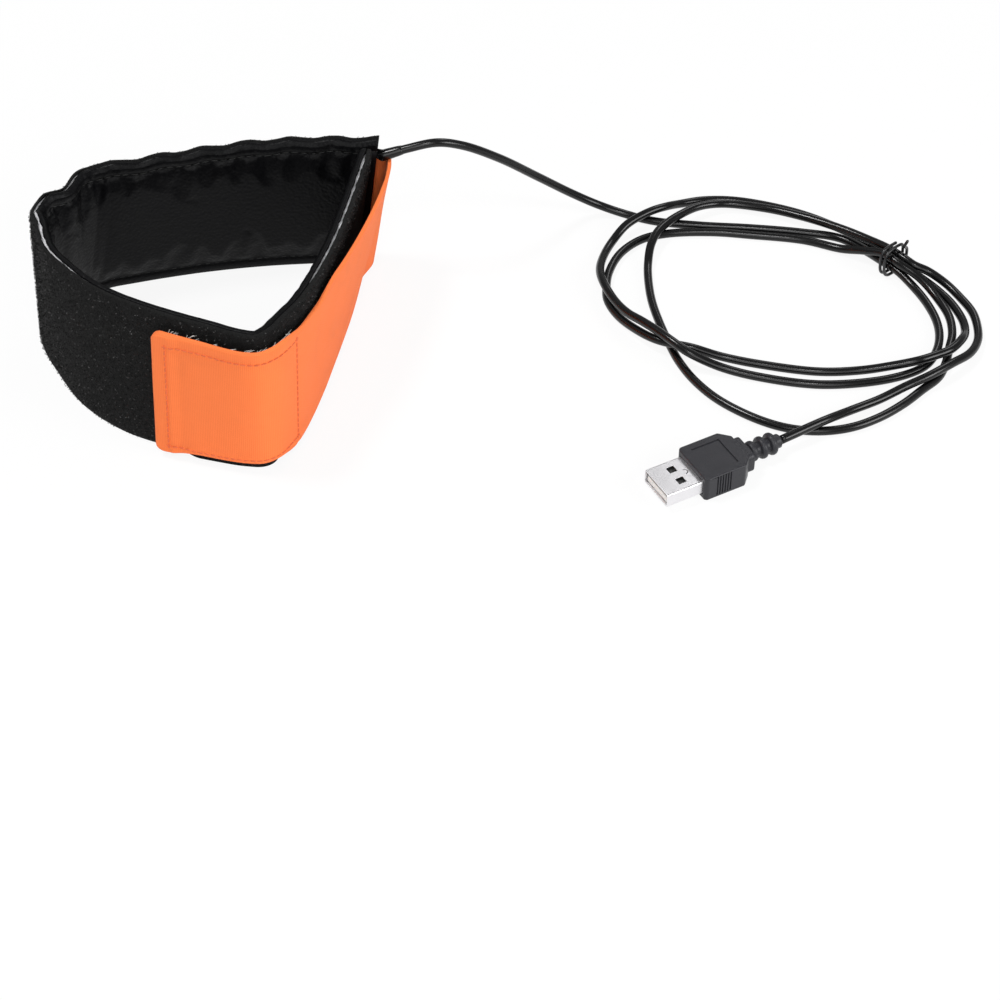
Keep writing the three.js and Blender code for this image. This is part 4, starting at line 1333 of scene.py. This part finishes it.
def steelLook(nodes):
    place = nodes.position()
    brushed = nodes.node("ShaderNodeMapping", {}, {
        "Vector": place, "Rotation": (0.0, 0.0, math.radians(-plug["yaw"])), "Scale": (0.06, 1.0, 1.0)})
    grain = nodes.noise(brushed, 2600.0, 3.0)
    marks = nodes.noise(place, 900.0, 6.0, 0.8).between(0.6, 0.72)
    haze = nodes.noise(place, 240.0, 2.0)
    base = nodes.mix(haze, colour(0.8, 0.79, 0.81), colour(0.88, 0.87, 0.89))
    base = nodes.mix(marks * 0.3, base, grey(0.55))
    return {"Base Color": base, "Metallic": 1.0, "Roughness": grain * 0.12 + haze * 0.12 + marks * 0.1 + 0.22,
            "Normal": nodes.bump(grain, 0.00002, 0.3)}


def plasticLook(dark, light):
    def look(nodes):
        place = nodes.position()
        flow = nodes.noise(place, 500.0, 3.0)
        fine = nodes.noise(place, 3000.0, 2.0)
        return {"Base Color": nodes.mix(flow, dark, light), "Roughness": fine * 0.15 + 0.38,
                "Normal": nodes.bump(fine, 0.00003, 0.4)}
    return look


def metalLook(dark, light):
    def look(nodes):
        place = nodes.position()
        wear = nodes.noise(place, 1500.0, 4.0, 0.7)
        return {"Base Color": nodes.mix(wear, dark, light), "Metallic": 1.0, "Roughness": wear * 0.25 + 0.2,
                "Normal": nodes.bump(wear, 0.00002, 0.3)}
    return look


plugVinyl = newMaterial("plugVinyl", vinylLook, grey(0.045))
brightSteel = newMaterial("brightSteel", steelLook, grey(0.75))
whitePlastic = newMaterial("whitePlastic", plasticLook(colour(0.74, 0.73, 0.7), colour(0.84, 0.83, 0.8)),
                           grey(0.8))
# painted shade: the colour of the plate that stands in for the shadow behind the plug's windows
darkPlastic = newMaterial("darkPlastic", plasticLook(grey(0.012), grey(0.03)), grey(0.02))
gilt = newMaterial("giltContact", metalLook(colour(0.66, 0.42, 0.12), colour(0.83, 0.6, 0.25)),
                   colour(0.8, 0.55, 0.2))
heaterEnamel = newMaterial("heaterEnamel", plasticLook(colour(0.22, 0.04, 0.02), colour(0.34, 0.08, 0.04)),
                           colour(0.3, 0.06, 0.03))
redCore = newMaterial("redCore", plasticLook(colour(0.4, 0.02, 0.012), colour(0.55, 0.04, 0.02)),
                      colour(0.5, 0.03, 0.02))
blackCore = newMaterial("blackCore", plasticLook(grey(0.008), grey(0.02)), grey(0.01))

plugPieces = [addOvermold(), addShell(), *addTongue()]
carried = {
    "heater_wire": heaterEnamel, "joint_sleeve_a": blackCore, "joint_sleeve_b": blackCore,
    "lead_red": redCore, "lead_black": blackCore, "plug_lead_red": redCore, "plug_lead_black": blackCore,
    "plug_contact_1": gilt, "plug_contact_2": gilt, "plug_contact_3": gilt, "plug_contact_4": gilt,
}
for nodeName, material in carried.items():
    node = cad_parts[nodeName]
    if not node.material_slots:
        node.data.materials.append(material)
    for slotOfNode in node.material_slots:
        slotOfNode.material = material
plugPieces += [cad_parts[name] for name in carried if name.startswith("plug_")]
print("plug made")


# ---- floor and lamps

def addFloor():
    bm = bmesh.new()
    bmesh.ops.create_grid(bm, x_segments=4, y_segments=4, size=3.0)
    mesh = bpy.data.meshes.new("floor")
    bm.to_mesh(mesh)
    bm.free()
    material = bpy.data.materials.new("paleFloor")
    material.use_nodes = True
    material.node_tree.nodes.clear()
    nodes = Nodes(material.node_tree)
    rays = nodes.node("ShaderNodeLightPath")
    seen = rays.out("Is Camera Ray").maths("MAXIMUM", rays.out("Is Glossy Ray"))
    seen = seen.maths("MAXIMUM", rays.out("Is Transmission Ray"))
    matt = nodes.node("ShaderNodeBsdfDiffuse", {}, {"Color": grey(viewSettings["floor"])})
    glow = nodes.node("ShaderNodeEmission", {}, {"Color": grey(1.0), "Strength": 1.0})
    mixed = nodes.node("ShaderNodeMixShader", {}, {0: seen * viewSettings["floorGlow"], 1: matt, 2: glow})
    nodes.node("ShaderNodeOutputMaterial", {}, {"Surface": mixed})
    newObject("floor", mesh, [material])


def addLamp(name):
    lamp = viewSettings[name]
    data = bpy.data.lights.new(name, "AREA")
    data.shape, data.size, data.energy = "SQUARE", lamp["size"], lamp["power"]
    obj = bpy.data.objects.new(name, data)
    obj.location = lamp["place"]
    away = Vector(lamp["place"]) - Vector(viewSettings["aim"])
    obj.rotation_euler = away.to_track_quat("Z", "Y").to_euler()
    scene.collection.objects.link(obj)


def addWorld():
    world = bpy.data.worlds.new("studio")
    world.use_nodes = True
    world.node_tree.nodes.clear()
    nodes = Nodes(world.node_tree)
    rays = nodes.node("ShaderNodeLightPath")
    seen = rays.out("Is Camera Ray").maths("MAXIMUM", rays.out("Is Transmission Ray"))
    strength = seen * (1 - viewSettings["world"]) + rays.out("Is Glossy Ray") * viewSettings["worldGloss"]
    strength = strength + viewSettings["world"]
    sky = nodes.node("ShaderNodeBackground", {}, {"Color": grey(1.0), "Strength": strength})
    nodes.node("ShaderNodeOutputWorld", {}, {"Surface": sky})
    scene.world = world


addFloor()
addWorld()
for lampName in ("key", "front", "spark", "side", "rim"):
    addLamp(lampName)
print("studio lit")
